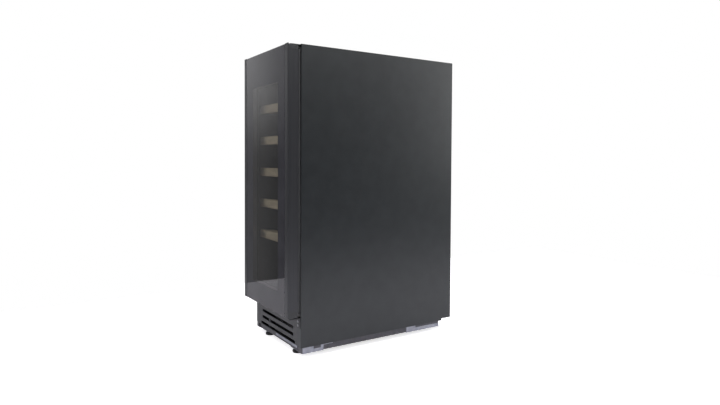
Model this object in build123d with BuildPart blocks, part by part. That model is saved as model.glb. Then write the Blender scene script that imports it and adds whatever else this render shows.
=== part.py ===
"""Slim under-counter wine cooler: steel cabinet, glass door, five pull-out shelves.

Millimetres. +Z is up, the door faces -Y and +X is the right side seen from the front.
The origin is the centre of the footprint, on the floor.
"""
import os

from build123d import *

os.makedirs("parts", exist_ok=True)

# ---------------------------------------------------------------- driving dimensions
# Cabinet
cabinet_width = 295.0
cabinet_depth = 525.0         # front steel face to the back panel
body_height = 812.0           # underside of the base rails to the top
foot_height = 14.0            # floor to the underside of the base rails, feet screwed in
sheet = 1.0                   # steel skin
fold_radius = 1.8             # outside radius of the skin's front fold
face_flange = 28.0            # steel face beside and above the opening
kick_flange = 17.5            # steel face beside the grille
rear_return = 12.0            # inward flange that carries the rear panels
skirt_rise = 15.0             # base rail underside to the skin's lower edge
rear_notch = (36.0, 20.5)     # length and rise of the step in the skin's lower rear edge

# Cold box
liner_wall = 2.0
side_wall = 32.5              # skin's outside to the liner's inside
liner_floor = 145.0           # inside floor above the room's floor
ceiling_foam = 31.0           # between the top skin and the liner
rear_foam = 36.0              # between the back panel and the liner
step_foam = 30.0              # over and in front of the machine compartment
face_lip = 5.0                # liner lip below and above the opening

# Machine compartment
deck_height = 98.0            # base rail underside to the top of the deck, and to the door
step_depth = 176.0            # compartment, measured from the back panel
step_height = 232.0           # floor to the top of the compartment
down_flange = 21.0            # folded down behind the grille

# Door
door_gap = 9.5                # gasket space
door_thickness = 29.5
door_top_drop = 1.2           # door top below the cabinet top
stile_width = 17.5
stile_wall = 1.8
stile_edge = 0.8              # rounding of the stile's front edges
end_cap_height = 16.0
glass_thickness = 4.0
glass_edge_gap = 0.3
window_side_border = 62.5     # door side to the window
window_top_border = 93.0      # door top to the window
window_bottom_border = 60.0   # door bottom to the window
spacer_width = 7.0
spacer_depth = 12.0
pane_past_spacer = 2.0        # inner pane's edge outside the spacer
glass_end_gap = 0.8           # outer pane's ends inside the door's ends
sealant = 3.0                 # round the glazing unit
grip_groove = (9.5, 10.0)     # depth along Y, width along X, in the opening stile
gasket_width = 16.0
gasket_past_hinge = 1.0       # hinge axis to the gasket's outer edge
gasket_seal_gap = 0.3         # gasket nose to the steel face
washer_gap = 3.0              # hinge plate to the door's underside

# Hinges
hinge_inset = 12.0            # axis in from the cabinet's right side
hinge_forward = 22.5          # axis in front of the steel face
hinge_pin_radius = 4.0
hinge_arm_half = 8.0
hinge_plate = 2.5
hinge_clearance = 0.5
hinge_pocket_gap = 0.6        # top plate's underside to the pocket's floor
running_clearance = 0.06
bush_wall = 2.0
pin_length = 12.0             # lower pin above the door's underside
top_pin_over_frame = 3.1      # top of the stiles to the upper pin's end
hinge_screw_radius = 2.0
hinge_screw_places = (12.0, 26.0)  # behind the front face, in the top plate
bottom_screw_drops = (10.0, 21.0)  # below the lower plate's top
hinge_plate_reach = 36.0      # top plate's end behind the front face
hinge_pocket_depth = 3.0      # screw room in the foam below the top plate
hinge_tab_drop = 28.0         # lower plate's face tab

# Shelves
shelf_count = 5
shelf_over_step = 29.0        # liner's step to the underside of the lowest shelf front
top_bay = 131.0               # underside of the top shelf front to the ceiling
shelf_side_gap = 4.0          # liner to the front board
shelf_front = (12.0, 24.0)    # thickness and height of the front board
shelf_set_back = 1.0          # front board behind the steel face
shelf_frame_gap = 9.0         # liner to the frame's side rails
shelf_rear_gap = 14.0         # frame's rear end to the duct cover
slat_count = 7
guide_gap = 0.3
guide_wall = 1.5

# Grille and base
grille_thickness = 3.0
grille_gap = 0.4
grille_over_rails = 14.0      # base rail underside to the grille
grille_under_deck = 4.5       # grille's top to the door's underside
first_slot_over_rails = 21.5
slot_height = 8.0
slot_pitch = 19.0
slot_insets = (17.0, 27.0, 27.0)  # grille's side to the slot's end, from the lowest slot up
rail_height = 30.0
rail_wall = 1.5
rail_flange = 24.0
rail_inset = (2.0, 48.0)      # in from the front face and from the back panel
bracket_plate = 1.5
front_bracket = (5.0, 68.6)   # from the front face, start and end
rear_bracket = (352.0, 477.0)
foot_inset = (57.5, 20.0)     # from the side, and from the front face
foot_radius = 14.5
foot_pad = 8.0
stem_radius = 5.0
stem_top = 52.0

# Cooling parts
evaporator_fan_radius = 36.0
evaporator_fan_depth = 24.0
condenser_fan_radius = 32.0
shaft_radius = 2.0
fan_tip_gap = 1.4
compressor_radius = 60.0
compressor_height = 146.0
compressor_offset = -8.0      # along X, clear of the rear feet
duct_depth = 40.0
duct_side_gap = 15.0          # liner to the duct cover
duct_over_step = 36.0
duct_under_ceiling = 17.0
fan_under_duct_top = 75.0     # duct cover's top to the fan's shaft
evaporator_under_fan = 100.0
evaporator_over_duct_base = 100.0
evaporator_side_room, evaporator_front_room, evaporator_rear_room = 24.0, 8.0, 5.0
evaporator_fins, condenser_fins = 25, 29
evaporator_row_pitch = 34.0
evaporator_row_margin = 15.0  # coil's lower and upper edge to the nearest tube
condenser_from_front = (38.0, 83.0)
condenser_over_tray = (5.0, 80.0)
condenser_tube_inset = (13.0, 12.0)  # coil's front and rear to the tubes
condenser_first_row, condenser_row_pitch = 14.0, 28.0
condenser_fan_from_front = (103.0, 129.0)
condenser_side_gap = 54.5     # skin to the end plates
pipe_radius = 3.0
button_radius = 4.5
button_gap = 0.3
button_pitch = 20.0

# ---------------------------------------------------------------- derived planes
half_width = cabinet_width / 2
inner_x = half_width - sheet
overall_depth = cabinet_depth + door_gap + door_thickness
door_front_y = -overall_depth / 2
door_back_y = door_front_y + door_thickness
front_y = door_back_y + door_gap
back_y = front_y + cabinet_depth
foam_back_y = back_y - 2 * sheet

base_z = foot_height
top_z = base_z + body_height
under_top_z = top_z - sheet
skirt_z = base_z + skirt_rise
deck_z = base_z + deck_height
step_z = step_height
step_y = back_y - step_depth

liner_half_width = half_width - side_wall
liner_ceiling = under_top_z - ceiling_foam - liner_wall
liner_rear_y = foam_back_y - rear_foam - liner_wall
liner_step_y = step_y - step_foam - liner_wall
liner_step_z = step_z + step_foam + liner_wall
lip_x = half_width - face_flange
lip_low_z = liner_floor - face_lip
lip_high_z = top_z - face_flange

door_low_z = deck_z
door_high_z = top_z - door_top_drop
door_half = half_width
window_half_width = door_half - window_side_border
frame_low_z = door_low_z + end_cap_height
frame_high_z = door_high_z - end_cap_height
glass_half = door_half - stile_width - glass_edge_gap
glass_back_y = door_front_y + glass_thickness
window_low_z = door_low_z + window_bottom_border
window_high_z = door_high_z - window_top_border

hinge_x = half_width - hinge_inset
hinge_y = front_y - hinge_forward
hinge_top_low_z = under_top_z - hinge_plate
hinge_low_top_z = door_low_z - washer_gap
hinge_screw_y = tuple(front_y + place for place in hinge_screw_places)
bottom_screw_z = tuple(hinge_low_top_z - drop for drop in bottom_screw_drops)
hinge_plate_end_y = front_y + hinge_plate_reach
arm_x = (hinge_x - hinge_arm_half, hinge_x + hinge_arm_half)

foot_x = half_width - foot_inset[0]
foot_front_y = front_y + foot_inset[1]
foot_rear_y = front_y + rear_bracket[1] - foot_inset[1]


# ---------------------------------------------------------------- shared shapes
def block(x, y, z, mode=Mode.ADD):
    """A box between two values along each axis, added to the part being built."""
    with BuildSketch(Plane.XY.offset(z[0])) as outline:
        with Locations(((x[0] + x[1]) / 2, (y[0] + y[1]) / 2)):
            Rectangle(abs(x[1] - x[0]), y[1] - y[0])
    extrude(outline.sketch, amount=z[1] - z[0], mode=mode)


def ring_xz(outer, inner, y, corner=0.0):
    """A rectangular ring facing the door: outer and inner are (half width, low z, high z)."""
    with BuildSketch(Plane.XZ.offset(-y[1])) as outline:
        for (half, low, high), mode in ((outer, Mode.ADD), (inner, Mode.SUBTRACT)):
            with Locations((0, (low + high) / 2)):
                if corner and mode == Mode.ADD:
                    RectangleRounded(2 * half, high - low, corner, mode=mode)
                else:
                    Rectangle(2 * half, high - low, mode=mode)
    extrude(outline.sketch, amount=y[1] - y[0])


def pane(half, z, y):
    """A flat sheet facing the door."""
    block((-half, half), y, z)


def upright(x, y, z, radius, mode=Mode.ADD):
    """A vertical round bar, or a hole when it is subtracted."""
    with BuildSketch(Plane.XY.offset(z[0])) as outline:
        with Locations((x, y)):
            Circle(radius)
    extrude(outline.sketch, amount=z[1] - z[0], mode=mode)


def lengthways(x, z, y, radius, mode=Mode.ADD):
    """A round bar along Y, or a hole when it is subtracted."""
    with BuildSketch(Plane.XZ.offset(-y[1])) as outline:
        with Locations((x, z)):
            Circle(radius)
    extrude(outline.sketch, amount=y[1] - y[0], mode=mode)


def profile_yz(points, x, mode=Mode.ADD):
    """A side-view outline, points as (y, z), pulled across from x[0] to x[1]."""
    with BuildSketch(Plane.YZ.offset(x[0])) as outline:
        Polygon(*points, align=None)
    extrude(outline.sketch, amount=x[1] - x[0], mode=mode)


def save(piece, name):
    piece.part.label = name
    export_step(piece.part, f"parts/{name}.step")


def both(value):
    return (-value, value)


# ---------------------------------------------------------------- cabinet skin
def side_panel(side, name):
    """Folded steel side: web, front face flange, narrower beside the grille, rear return."""
    web = sorted((side * inner_x, side * half_width))
    notch_y = back_y - rear_notch[0]
    notch_z = base_z + rear_notch[1]
    with BuildPart() as panel:
        profile_yz(
            [(front_y, skirt_z), (notch_y, skirt_z), (notch_y, notch_z),
             (back_y, notch_z), (back_y, top_z), (front_y, top_z)],
            web,
        )
        face_y = (front_y, front_y + sheet)
        block(sorted((side * lip_x, side * inner_x)), face_y, (deck_z - sheet, under_top_z))
        block(sorted((side * (half_width - kick_flange), side * inner_x)), face_y, (skirt_z, deck_z))
        block(
            sorted((side * (half_width - rear_return), side * inner_x)),
            (foam_back_y, back_y - sheet), (notch_z, under_top_z),
        )
        corner = panel.edges().filter_by(Axis.Z).group_by(Axis.Y)[0]
        corner = corner.filter_by(lambda edge: abs(abs(edge.center().X) - half_width) < 0.01)
        fillet(corner, fold_radius)
        if side > 0:
            block(
                (arm_x[0] - guide_gap, arm_x[1] + guide_gap),
                face_y, (hinge_top_low_z - guide_gap, under_top_z), mode=Mode.SUBTRACT,
            )
            for z in bottom_screw_z:
                lengthways(hinge_x, z, (front_y, front_y + sheet), hinge_screw_radius, Mode.SUBTRACT)
    save(panel, name)


side_panel(-1, "side_panel_left")
side_panel(1, "side_panel_right")

with BuildPart() as top_panel:
    block(both(inner_x), (front_y, back_y), (under_top_z, top_z))
    block(both(lip_x), (front_y, front_y + sheet), (lip_high_z, under_top_z))
    for y in hinge_screw_y:
        upright(hinge_x, y, (under_top_z, top_z), hinge_screw_radius, Mode.SUBTRACT)
save(top_panel, "top_panel")

cover_top_z = step_z - rear_return
with BuildPart() as back_panel:
    block(both(inner_x), (back_y - sheet, back_y), (cover_top_z, under_top_z))
save(back_panel, "back_panel")

# The rear cover is louvred so that the machine compartment can breathe out.
gland_x, gland_z, gland_radius = -95.0, 62.0, 7.0
louvre_z, louvre_size, louvre_pitch, louvre_grid = 150.0, (56.0, 5.0), (70.0, 14.0), (3, 7)
with BuildPart() as compressor_cover:
    block(both(inner_x), (back_y - sheet, back_y), (base_z + rear_notch[1], cover_top_z - guide_gap))
    with BuildSketch(Plane.XZ.offset(-back_y)):
        with Locations((0, louvre_z)):
            with GridLocations(*louvre_pitch, *louvre_grid):
                SlotOverall(*louvre_size)
    extrude(amount=sheet, mode=Mode.SUBTRACT)
    lengthways(gland_x, gland_z, (back_y - sheet, back_y), gland_radius, Mode.SUBTRACT)
save(compressor_cover, "compressor_cover")

# Pipes and the drain drop through the deck, the foam and the liner behind the shelves.
duct_half_width = liner_half_width - duct_side_gap
drop_from_wall, pipe_from_duct_side = 14.0, 8.0
drop_y = liner_rear_y - drop_from_wall
liquid_x = pipe_from_duct_side - duct_half_width
suction_x, drain_x = -liquid_x, compressor_offset
drain_radius = 6.0
drops = ((liquid_x, pipe_radius), (suction_x, pipe_radius), (drain_x, drain_radius))


def drop_holes(z):
    for x, radius in drops:
        upright(x, drop_y, z, radius + guide_gap, Mode.SUBTRACT)


clip_gap = 1.0                # grille's rear to the flanges that its clips reach
flange_y = front_y + grille_thickness + clip_gap
with BuildPart() as machine_deck:
    block(both(lip_x), (front_y, front_y + sheet), (deck_z - sheet, lip_low_z))
    block(both(inner_x), (front_y + sheet, step_y), (deck_z - sheet, deck_z))
    block(both(inner_x), (step_y - sheet, step_y), (deck_z - sheet, step_z))
    block(both(inner_x), (step_y - sheet, foam_back_y), (step_z - sheet, step_z))
    block(
        both(half_width - kick_flange), (flange_y, flange_y + sheet),
        (deck_z - sheet - down_flange, deck_z - sheet),
    )
    drop_holes((step_z - sheet, step_z))
save(machine_deck, "machine_deck")


# ---------------------------------------------------------------- cold box
def box_outline(grow):
    """The cold box seen from the side, grown outwards by the liner's wall or not at all."""
    return [
        (front_y, liner_floor - grow), (liner_step_y + grow, liner_floor - grow),
        (liner_step_y + grow, liner_step_z - grow), (liner_rear_y + grow, liner_step_z - grow),
        (liner_rear_y + grow, liner_ceiling + grow), (front_y, liner_ceiling + grow),
    ]


with BuildPart() as inner_liner:
    profile_yz(box_outline(liner_wall), both(liner_half_width + liner_wall))
    ring_xz(
        (lip_x, lip_low_z, lip_high_z),
        (liner_half_width, liner_floor, liner_ceiling), (front_y, front_y + liner_wall),
    )
    profile_yz(box_outline(0), both(liner_half_width), Mode.SUBTRACT)
    drop_holes((liner_step_z - liner_wall, liner_step_z))
save(inner_liner, "inner_liner")

with BuildPart() as insulation:
    foam_y = front_y + liner_wall
    profile_yz(
        [(foam_y, deck_z), (step_y - sheet, deck_z), (step_y - sheet, step_z),
         (foam_back_y, step_z), (foam_back_y, under_top_z), (foam_y, under_top_z)],
        both(inner_x),
    )
    profile_yz(box_outline(liner_wall), both(liner_half_width + liner_wall), Mode.SUBTRACT)
    drop_holes((step_z, liner_step_z))
    block(
        arm_x, (foam_y, hinge_plate_end_y + 2),
        (hinge_top_low_z - hinge_pocket_depth, under_top_z), mode=Mode.SUBTRACT,
    )
save(insulation, "insulation")

# ---------------------------------------------------------------- base
rail_y = (front_y + rail_inset[0], back_y - rail_inset[1])
tray_z = base_z + rail_wall
foot_places = [
    ("foot_front_left", -foot_x, foot_front_y), ("foot_front_right", foot_x, foot_front_y),
    ("foot_rear_left", -foot_x, foot_rear_y), ("foot_rear_right", foot_x, foot_rear_y),
]
nut_radius, nut_rise = 9.0, 9.0
nut_top = tray_z + nut_rise

with BuildPart() as base_rails:
    for side in (-1, 1):
        web = sorted((side * (inner_x - rail_wall), side * inner_x))
        flange = sorted((side * (inner_x - rail_flange), side * inner_x))
        block(web, rail_y, (base_z, base_z + rail_height))
        block(flange, rail_y, (base_z, base_z + rail_wall))
save(base_rails, "base_rails")

# Foot brackets wrap up outside the rails, below the painted skin, and carry welded nuts.
bracket_inset = 0.1           # bracket's face inside the skin's face
bracket_past_foot = 15.0      # foot's axis to the plate's inner edge
bracket_top_z = skirt_z - guide_gap
front_dip, front_dip_rise = (38.0, 60.0), 7.5
front_tail_end, front_tail_height = 97.7, 1.3
rear_step_start, rear_step_rise = 386.0, 9.0
with BuildPart() as foot_brackets:
    for side in (-1, 1):
        outer_x = side * (half_width - bracket_inset)
        skin = sorted((side * inner_x, outer_x))
        plate = sorted((side * (foot_x - bracket_past_foot), outer_x))
        for start, end in (front_bracket, rear_bracket):
            block(plate, (front_y + start, front_y + end), (base_z - bracket_plate, base_z))
        for start, end, low, high in (
            (front_bracket[0], front_dip[0], base_z, bracket_top_z),
            (*front_dip, base_z, base_z + front_dip_rise),
            (front_dip[1], front_bracket[1], base_z, bracket_top_z),
            (front_bracket[1], front_tail_end, bracket_top_z - front_tail_height, bracket_top_z),
            (rear_bracket[0], rear_step_start, base_z, bracket_top_z),
            (rear_step_start, rear_bracket[1], base_z, base_z + rear_step_rise),
        ):
            block(skin, (front_y + start, front_y + end), (low, high))
    for _, x, y in foot_places:
        upright(x, y, (base_z - bracket_plate, nut_top), nut_radius)
        upright(x, y, (base_z - bracket_plate, nut_top), stem_radius + running_clearance, Mode.SUBTRACT)
save(foot_brackets, "foot_brackets")

tray_rim = 12.0
with BuildPart() as base_tray:
    rim_z = (tray_z, tray_z + tray_rim)
    block(both(inner_x - rail_wall), (flange_y, rail_y[1]), (tray_z, tray_z + sheet))
    block(both(half_width - kick_flange), (flange_y, flange_y + sheet), rim_z)
    block(both(inner_x - rail_wall), (rail_y[1] - sheet, rail_y[1]), rim_z)
    for _, x, y in foot_places:
        upright(x, y, (tray_z, tray_z + sheet), nut_radius + guide_gap, Mode.SUBTRACT)
save(base_tray, "base_tray")
tray_top = tray_z + sheet

pad_shoulder, pad_sole, foot_hexagon = 3.0, 0.8, 3.0
for name, x, y in foot_places:
    with BuildPart() as foot:
        upright(x, y, (0, foot_pad), foot_radius)
        fillet(foot.edges().group_by(Axis.Z)[-1], pad_shoulder)
        chamfer(foot.edges().group_by(Axis.Z)[0], pad_sole)
        upright(x, y, (foot_pad, foot_pad + foot_hexagon), nut_radius)
        upright(x, y, (foot_pad, stem_top), stem_radius)
    save(foot, name)

# ---------------------------------------------------------------- grille
grille_half = half_width - kick_flange - grille_gap
grille_z = (base_z + grille_over_rails, deck_z - grille_under_deck)
first_slot_z = base_z + first_slot_over_rails
clip_half, clip_from_side = 6.0, 16.0
with BuildPart() as kick_grille:
    block(both(grille_half), (front_y, front_y + grille_thickness), grille_z)
    with BuildSketch(Plane.XZ.offset(-(front_y + grille_thickness))):
        for row, inset in enumerate(slot_insets):
            with Locations((0, first_slot_z + row * slot_pitch)):
                SlotOverall(2 * (grille_half - inset), slot_height)
    extrude(amount=grille_thickness, mode=Mode.SUBTRACT)
    for x in both(grille_half - clip_from_side):
        for z in ((deck_z - 16, deck_z - 8), (rim_z[1] - 0.5, rim_z[1] + 3)):
            block((x - clip_half, x + clip_half), (front_y + grille_thickness, flange_y), z)
save(kick_grille, "kick_grille")

# ---------------------------------------------------------------- door
frame_z = (frame_low_z, frame_high_z)


def stile(side, name):
    """Hollow aluminium stile; the one on the opening side has a finger groove at its back edge."""
    outer_x, inner_edge = side * door_half, side * (door_half - stile_width)
    groove_y, groove_x = grip_groove
    low, high = door_front_y, door_back_y
    if side < 0:
        outline = [(outer_x, low), (inner_edge, low), (inner_edge, high), (outer_x + groove_x, high),
                   (outer_x + groove_x, high - groove_y), (outer_x, high - groove_y)]
    else:
        outline = [(inner_edge, low), (outer_x, low), (outer_x, high), (inner_edge, high)]
    with BuildPart() as bar:
        with BuildSketch(Plane.XY.offset(frame_low_z)):
            Polygon(*outline, align=None)
            offset(amount=-stile_wall, mode=Mode.SUBTRACT)
        extrude(amount=frame_high_z - frame_low_z)
        front_edges = bar.edges().filter_by(Axis.Z).group_by(Axis.Y)[0]
        fillet(front_edges, stile_edge)
    save(bar, name)


stile(-1, "door_stile_left")
stile(1, "door_stile_right")

pane_margin = spacer_width + pane_past_spacer
glazing_half = window_half_width + pane_margin
pocket_half = glazing_half + sealant
spacer_y = (glass_back_y, glass_back_y + spacer_depth)
inner_pane_y = (spacer_y[1], spacer_y[1] + glass_thickness)
grow = pane_margin + sealant
with BuildPart() as door_inner_frame:
    ring_xz(
        (door_half - stile_width, *frame_z),
        (pocket_half, window_low_z - grow, window_high_z + grow), (glass_back_y, door_back_y),
    )
save(door_inner_frame, "door_inner_frame")

with BuildPart() as door_glass_outer:
    pane(glass_half, (door_low_z + glass_end_gap, door_high_z - glass_end_gap),
         (door_front_y, glass_back_y))
save(door_glass_outer, "door_glass_outer")

with BuildPart() as glazing_spacer:
    ring_xz(
        (window_half_width + spacer_width, window_low_z - spacer_width, window_high_z + spacer_width),
        (window_half_width, window_low_z, window_high_z), spacer_y,
    )
save(glazing_spacer, "glazing_spacer")

with BuildPart() as door_glass_inner:
    pane(glazing_half, (window_low_z - pane_margin, window_high_z + pane_margin), inner_pane_y)
save(door_glass_inner, "door_glass_inner")

# Bellows gasket: foot in the frame's rear face, waist, and the magnet nose.
gasket_outer_x = hinge_x + gasket_past_hinge
gasket_margin = door_half - gasket_outer_x
gasket_nose_y = front_y - gasket_seal_gap
waist_inset, nose_inset, gasket_foot, gasket_nose = 3.5, 1.5, 2.4, 3.2
gasket_end_shift = 2.0        # gasket's ends nearer the door's ends than its sides are
gasket_steps = (
    (0.0, door_back_y, door_back_y + gasket_foot),
    (waist_inset, door_back_y + gasket_foot, gasket_nose_y - gasket_nose),
    (nose_inset, gasket_nose_y - gasket_nose, gasket_nose_y),
)
with BuildPart() as door_gasket:
    for inset, low, high in gasket_steps:
        half, width = gasket_outer_x - inset, gasket_width - 2 * inset
        z_low = door_low_z + gasket_margin - gasket_end_shift + inset
        z_high = door_high_z - gasket_margin + gasket_end_shift - inset
        ring_xz((half, z_low, z_high), (half - width, z_low + width, z_high - width), (low, high))
save(door_gasket, "door_gasket")

# End caps close the stiles. The top one has a pocket that the fixed hinge arm turns in.
bush_radius = hinge_pin_radius + running_clearance + bush_wall
pocket_floor_z = hinge_top_low_z - hinge_pocket_gap
pocket_front_wall, through = 3.0, 1.0


def cap_outline():
    with Locations((0, (door_front_y + door_back_y) / 2)):
        Rectangle(2 * door_half, door_thickness)
    with Locations((0, door_front_y + glass_thickness / 2)):
        Rectangle(2 * (door_half - stile_width), glass_thickness, mode=Mode.SUBTRACT)
    with Locations((-door_half + grip_groove[1] / 2, door_back_y - grip_groove[0] / 2)):
        Rectangle(grip_groove[1], grip_groove[0], mode=Mode.SUBTRACT)


with BuildPart() as door_top_cap:
    with BuildSketch(Plane.XY.offset(frame_high_z)):
        cap_outline()
    extrude(amount=end_cap_height)
    block(
        (arm_x[0] - 2 * hinge_clearance, door_half + through),
        (door_front_y + pocket_front_wall, door_back_y + through),
        (pocket_floor_z, door_high_z + through), mode=Mode.SUBTRACT,
    )
    upright(hinge_x, hinge_y, (frame_high_z, pocket_floor_z), bush_radius, Mode.SUBTRACT)
save(door_top_cap, "door_top_cap")

with BuildPart() as door_bottom_cap:
    with BuildSketch(Plane.XY.offset(door_low_z)):
        cap_outline()
    extrude(amount=end_cap_height)
    upright(hinge_x, hinge_y, (door_low_z, frame_low_z), bush_radius, Mode.SUBTRACT)
save(door_bottom_cap, "door_bottom_cap")

with BuildPart() as hinge_bushes:
    for z in ((door_low_z, frame_low_z), (frame_high_z, pocket_floor_z)):
        upright(hinge_x, hinge_y, z, bush_radius)
        upright(hinge_x, hinge_y, z, hinge_pin_radius + running_clearance, Mode.SUBTRACT)
save(hinge_bushes, "hinge_bushes")

# ---------------------------------------------------------------- hinges
with BuildPart() as hinge_top_plate:
    block(arm_x, (hinge_y, hinge_plate_end_y), (hinge_top_low_z, under_top_z))
    upright(hinge_x, hinge_y, (hinge_top_low_z, under_top_z), hinge_arm_half)
    upright(hinge_x, hinge_y, (frame_high_z + top_pin_over_frame, hinge_top_low_z), hinge_pin_radius)
    for y in hinge_screw_y:
        upright(hinge_x, y, (hinge_top_low_z, under_top_z), hinge_screw_radius, Mode.SUBTRACT)
save(hinge_top_plate, "hinge_top_plate")

tab_y = (front_y - hinge_plate, front_y)
hinge_tab_inset, hinge_collar = 2.0, 7.5
with BuildPart() as hinge_bottom_plate:
    block(arm_x, (hinge_y, front_y), (hinge_low_top_z - hinge_plate, hinge_low_top_z))
    upright(hinge_x, hinge_y, (hinge_low_top_z - hinge_plate, hinge_low_top_z), hinge_arm_half)
    block((arm_x[0], half_width - hinge_tab_inset), tab_y,
          (hinge_low_top_z - hinge_tab_drop, hinge_low_top_z))
    upright(hinge_x, hinge_y, (hinge_low_top_z, door_low_z - guide_gap), hinge_collar)
    upright(hinge_x, hinge_y, (hinge_low_top_z, door_low_z + pin_length), hinge_pin_radius)
    for z in bottom_screw_z:
        lengthways(hinge_x, z, tab_y, hinge_screw_radius, Mode.SUBTRACT)
save(hinge_bottom_plate, "hinge_bottom_plate")

head_radius, head_height, screw_end = 3.6, 1.6, 2.0
screw_radius = hinge_screw_radius - 0.1
with BuildPart() as hinge_screws:
    for y in hinge_screw_y:
        upright(hinge_x, y, (hinge_top_low_z - screw_end, top_z), screw_radius)
    for z in bottom_screw_z:
        lengthways(hinge_x, z, (tab_y[0] - head_height, tab_y[0]), head_radius)
        lengthways(hinge_x, z, (tab_y[0], front_y + sheet + screw_end), screw_radius)
save(hinge_screws, "hinge_screws")

# ---------------------------------------------------------------- shelves and guides
first_shelf = liner_step_z + shelf_over_step
shelf_pitch = (liner_ceiling - top_bay - first_shelf) / (shelf_count - 1)
shelf_low = [first_shelf + index * shelf_pitch for index in range(shelf_count)]
duct_y = (liner_rear_y - duct_depth, liner_rear_y)
shelf_end_y = duct_y[0] - shelf_rear_gap
shelf_half = liner_half_width - shelf_side_gap
shelf_frame_half = liner_half_width - shelf_frame_gap
shelf_face_y = front_y + shelf_set_back
guide_behind_front, guide_before_end = 4.0, 10.0
guide_y = (shelf_face_y + shelf_front[0] + guide_behind_front, shelf_end_y - guide_before_end)
guide_reach = 7.0             # channel depth from the liner wall
channel_z = (1.0, 14.0)       # channel underside and top above the shelf front's underside

with BuildPart() as shelf_guides:
    for low in shelf_low:
        for side in (-1, 1):
            web = sorted((side * (liner_half_width - guide_wall), side * liner_half_width))
            lip = sorted((side * (liner_half_width - guide_reach), side * liner_half_width))
            block(web, guide_y, (low + channel_z[0], low + channel_z[1]))
            block(lip, guide_y, (low + channel_z[0], low + channel_z[0] + guide_wall))
            block(lip, guide_y, (low + channel_z[1] - guide_wall, low + channel_z[1]))
save(shelf_guides, "shelf_guides")

slat_width, slat_top, side_rail_width, front_edge = 26.0, 21.0, 14.0, 2.0
tongue_end_gap, slat_inset = 4.0, 1.0
bottle_hollow_radius, bottle_hollow_rise = 45.0, 42.0
for index, low in enumerate(shelf_low, start=1):
    board_y = (shelf_face_y, shelf_face_y + shelf_front[0])
    with BuildPart() as board:
        block(both(shelf_half), board_y, (low, low + shelf_front[1]))
        fillet(board.edges().filter_by(Axis.X).group_by(Axis.Y)[0], front_edge)
    save(board, f"shelf_{index}_front")

    slip = guide_wall + guide_gap
    tongue_z = (low + channel_z[0] + slip, low + channel_z[1] - slip)
    slat_z = (low + channel_z[1] - guide_gap, low + slat_top)
    with BuildPart() as slats:
        for side in (-1, 1):
            rail = sorted((side * (shelf_frame_half - side_rail_width), side * shelf_frame_half))
            tongue = sorted((side * shelf_frame_half, side * (liner_half_width - slip)))
            block(rail, (board_y[1], shelf_end_y), (tongue_z[0], slat_z[0]))
            block(tongue, (guide_y[0] + tongue_end_gap, guide_y[1]), tongue_z)
        pitch = (shelf_end_y - board_y[1] - slat_width) / (slat_count - 1)
        for number in range(slat_count):
            start = board_y[1] + number * pitch
            block(both(shelf_frame_half - slat_inset), (start, start + slat_width), slat_z)
        for x in both(shelf_frame_half / 2):
            lengthways(x, slat_z[1] + bottle_hollow_rise, (board_y[1], shelf_end_y),
                       bottle_hollow_radius, Mode.SUBTRACT)
    save(slats, f"shelf_{index}_slats")


# ---------------------------------------------------------------- fans
fan_wall, fan_corner = 3.0, 5.0
spider_depth, spider_arms, spider_arm_width, motor_radius = 3.0, 4, 4.0, 13.0
bearing_length, bearing_radius = 7.0, 8.0
hub_radius, hub_front, hub_to_bearing = 11.0, 2.0, 1.0
blade_count, blade_angle, blade_thickness, blade_chord = 7, 38, 1.4, 15.0
blade_root, blade_tip_gap = 9.0, 1.0


def fan_frame(z, y, radius, name):
    """Square fan housing along Y with a spider that holds the motor and shaft bearing."""
    half = radius + fan_tip_gap + fan_wall
    with BuildPart() as frame:
        with BuildSketch(Plane.XZ.offset(-y[1])):
            with Locations((0, z)):
                RectangleRounded(2 * half, 2 * half, fan_corner)
                Circle(radius + fan_tip_gap, mode=Mode.SUBTRACT)
        extrude(amount=y[1] - y[0])
        with BuildSketch(Plane.XZ.offset(-y[1])):
            with Locations((0, z)):
                Circle(motor_radius)
                with PolarLocations(radius / 2 + fan_corner, spider_arms, start_angle=45):
                    Rectangle(radius + 2, spider_arm_width)
        extrude(amount=spider_depth)
        lengthways(0, z, (y[1] - bearing_length, y[1]), bearing_radius)
        lengthways(0, z, (y[0], y[1]), shaft_radius + running_clearance, Mode.SUBTRACT)
    save(frame, name)


def fan_rotor(z, y, radius, name):
    middle_y = (y[0] + y[1] - bearing_length) / 2
    hub_end = y[1] - bearing_length - hub_to_bearing
    with BuildPart() as rotor:
        lengthways(0, z, (y[0] + hub_front, hub_end), hub_radius)
        lengthways(0, z, (hub_end, hub_end + bearing_length), shaft_radius)
        span = (blade_root, radius - blade_tip_gap)
        for blade in range(blade_count):
            turn = Location((0, middle_y, z), (0, 360 * blade / blade_count, 0))
            with Locations(turn * Location(((span[0] + span[1]) / 2, 0, 0), (blade_angle, 0, 0))):
                Box(span[1] - span[0], blade_thickness, blade_chord)
    save(rotor, name)


duct_z = (liner_step_z + duct_over_step, liner_ceiling - duct_under_ceiling)
evaporator_fan_z = duct_z[1] - fan_under_duct_top
evaporator_fan_y = (duct_y[0] + liner_wall, duct_y[0] + liner_wall + evaporator_fan_depth)
fan_frame(evaporator_fan_z, evaporator_fan_y, evaporator_fan_radius, "evaporator_fan_frame")
fan_rotor(evaporator_fan_z, evaporator_fan_y, evaporator_fan_radius, "evaporator_fan_rotor")

condenser_fan_z = tray_top + condenser_fan_radius + fan_tip_gap + fan_wall
condenser_fan_y = tuple(front_y + distance for distance in condenser_fan_from_front)
fan_frame(condenser_fan_z, condenser_fan_y, condenser_fan_radius, "condenser_fan_frame")
fan_rotor(condenser_fan_z, condenser_fan_y, condenser_fan_radius, "condenser_fan_rotor")

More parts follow.
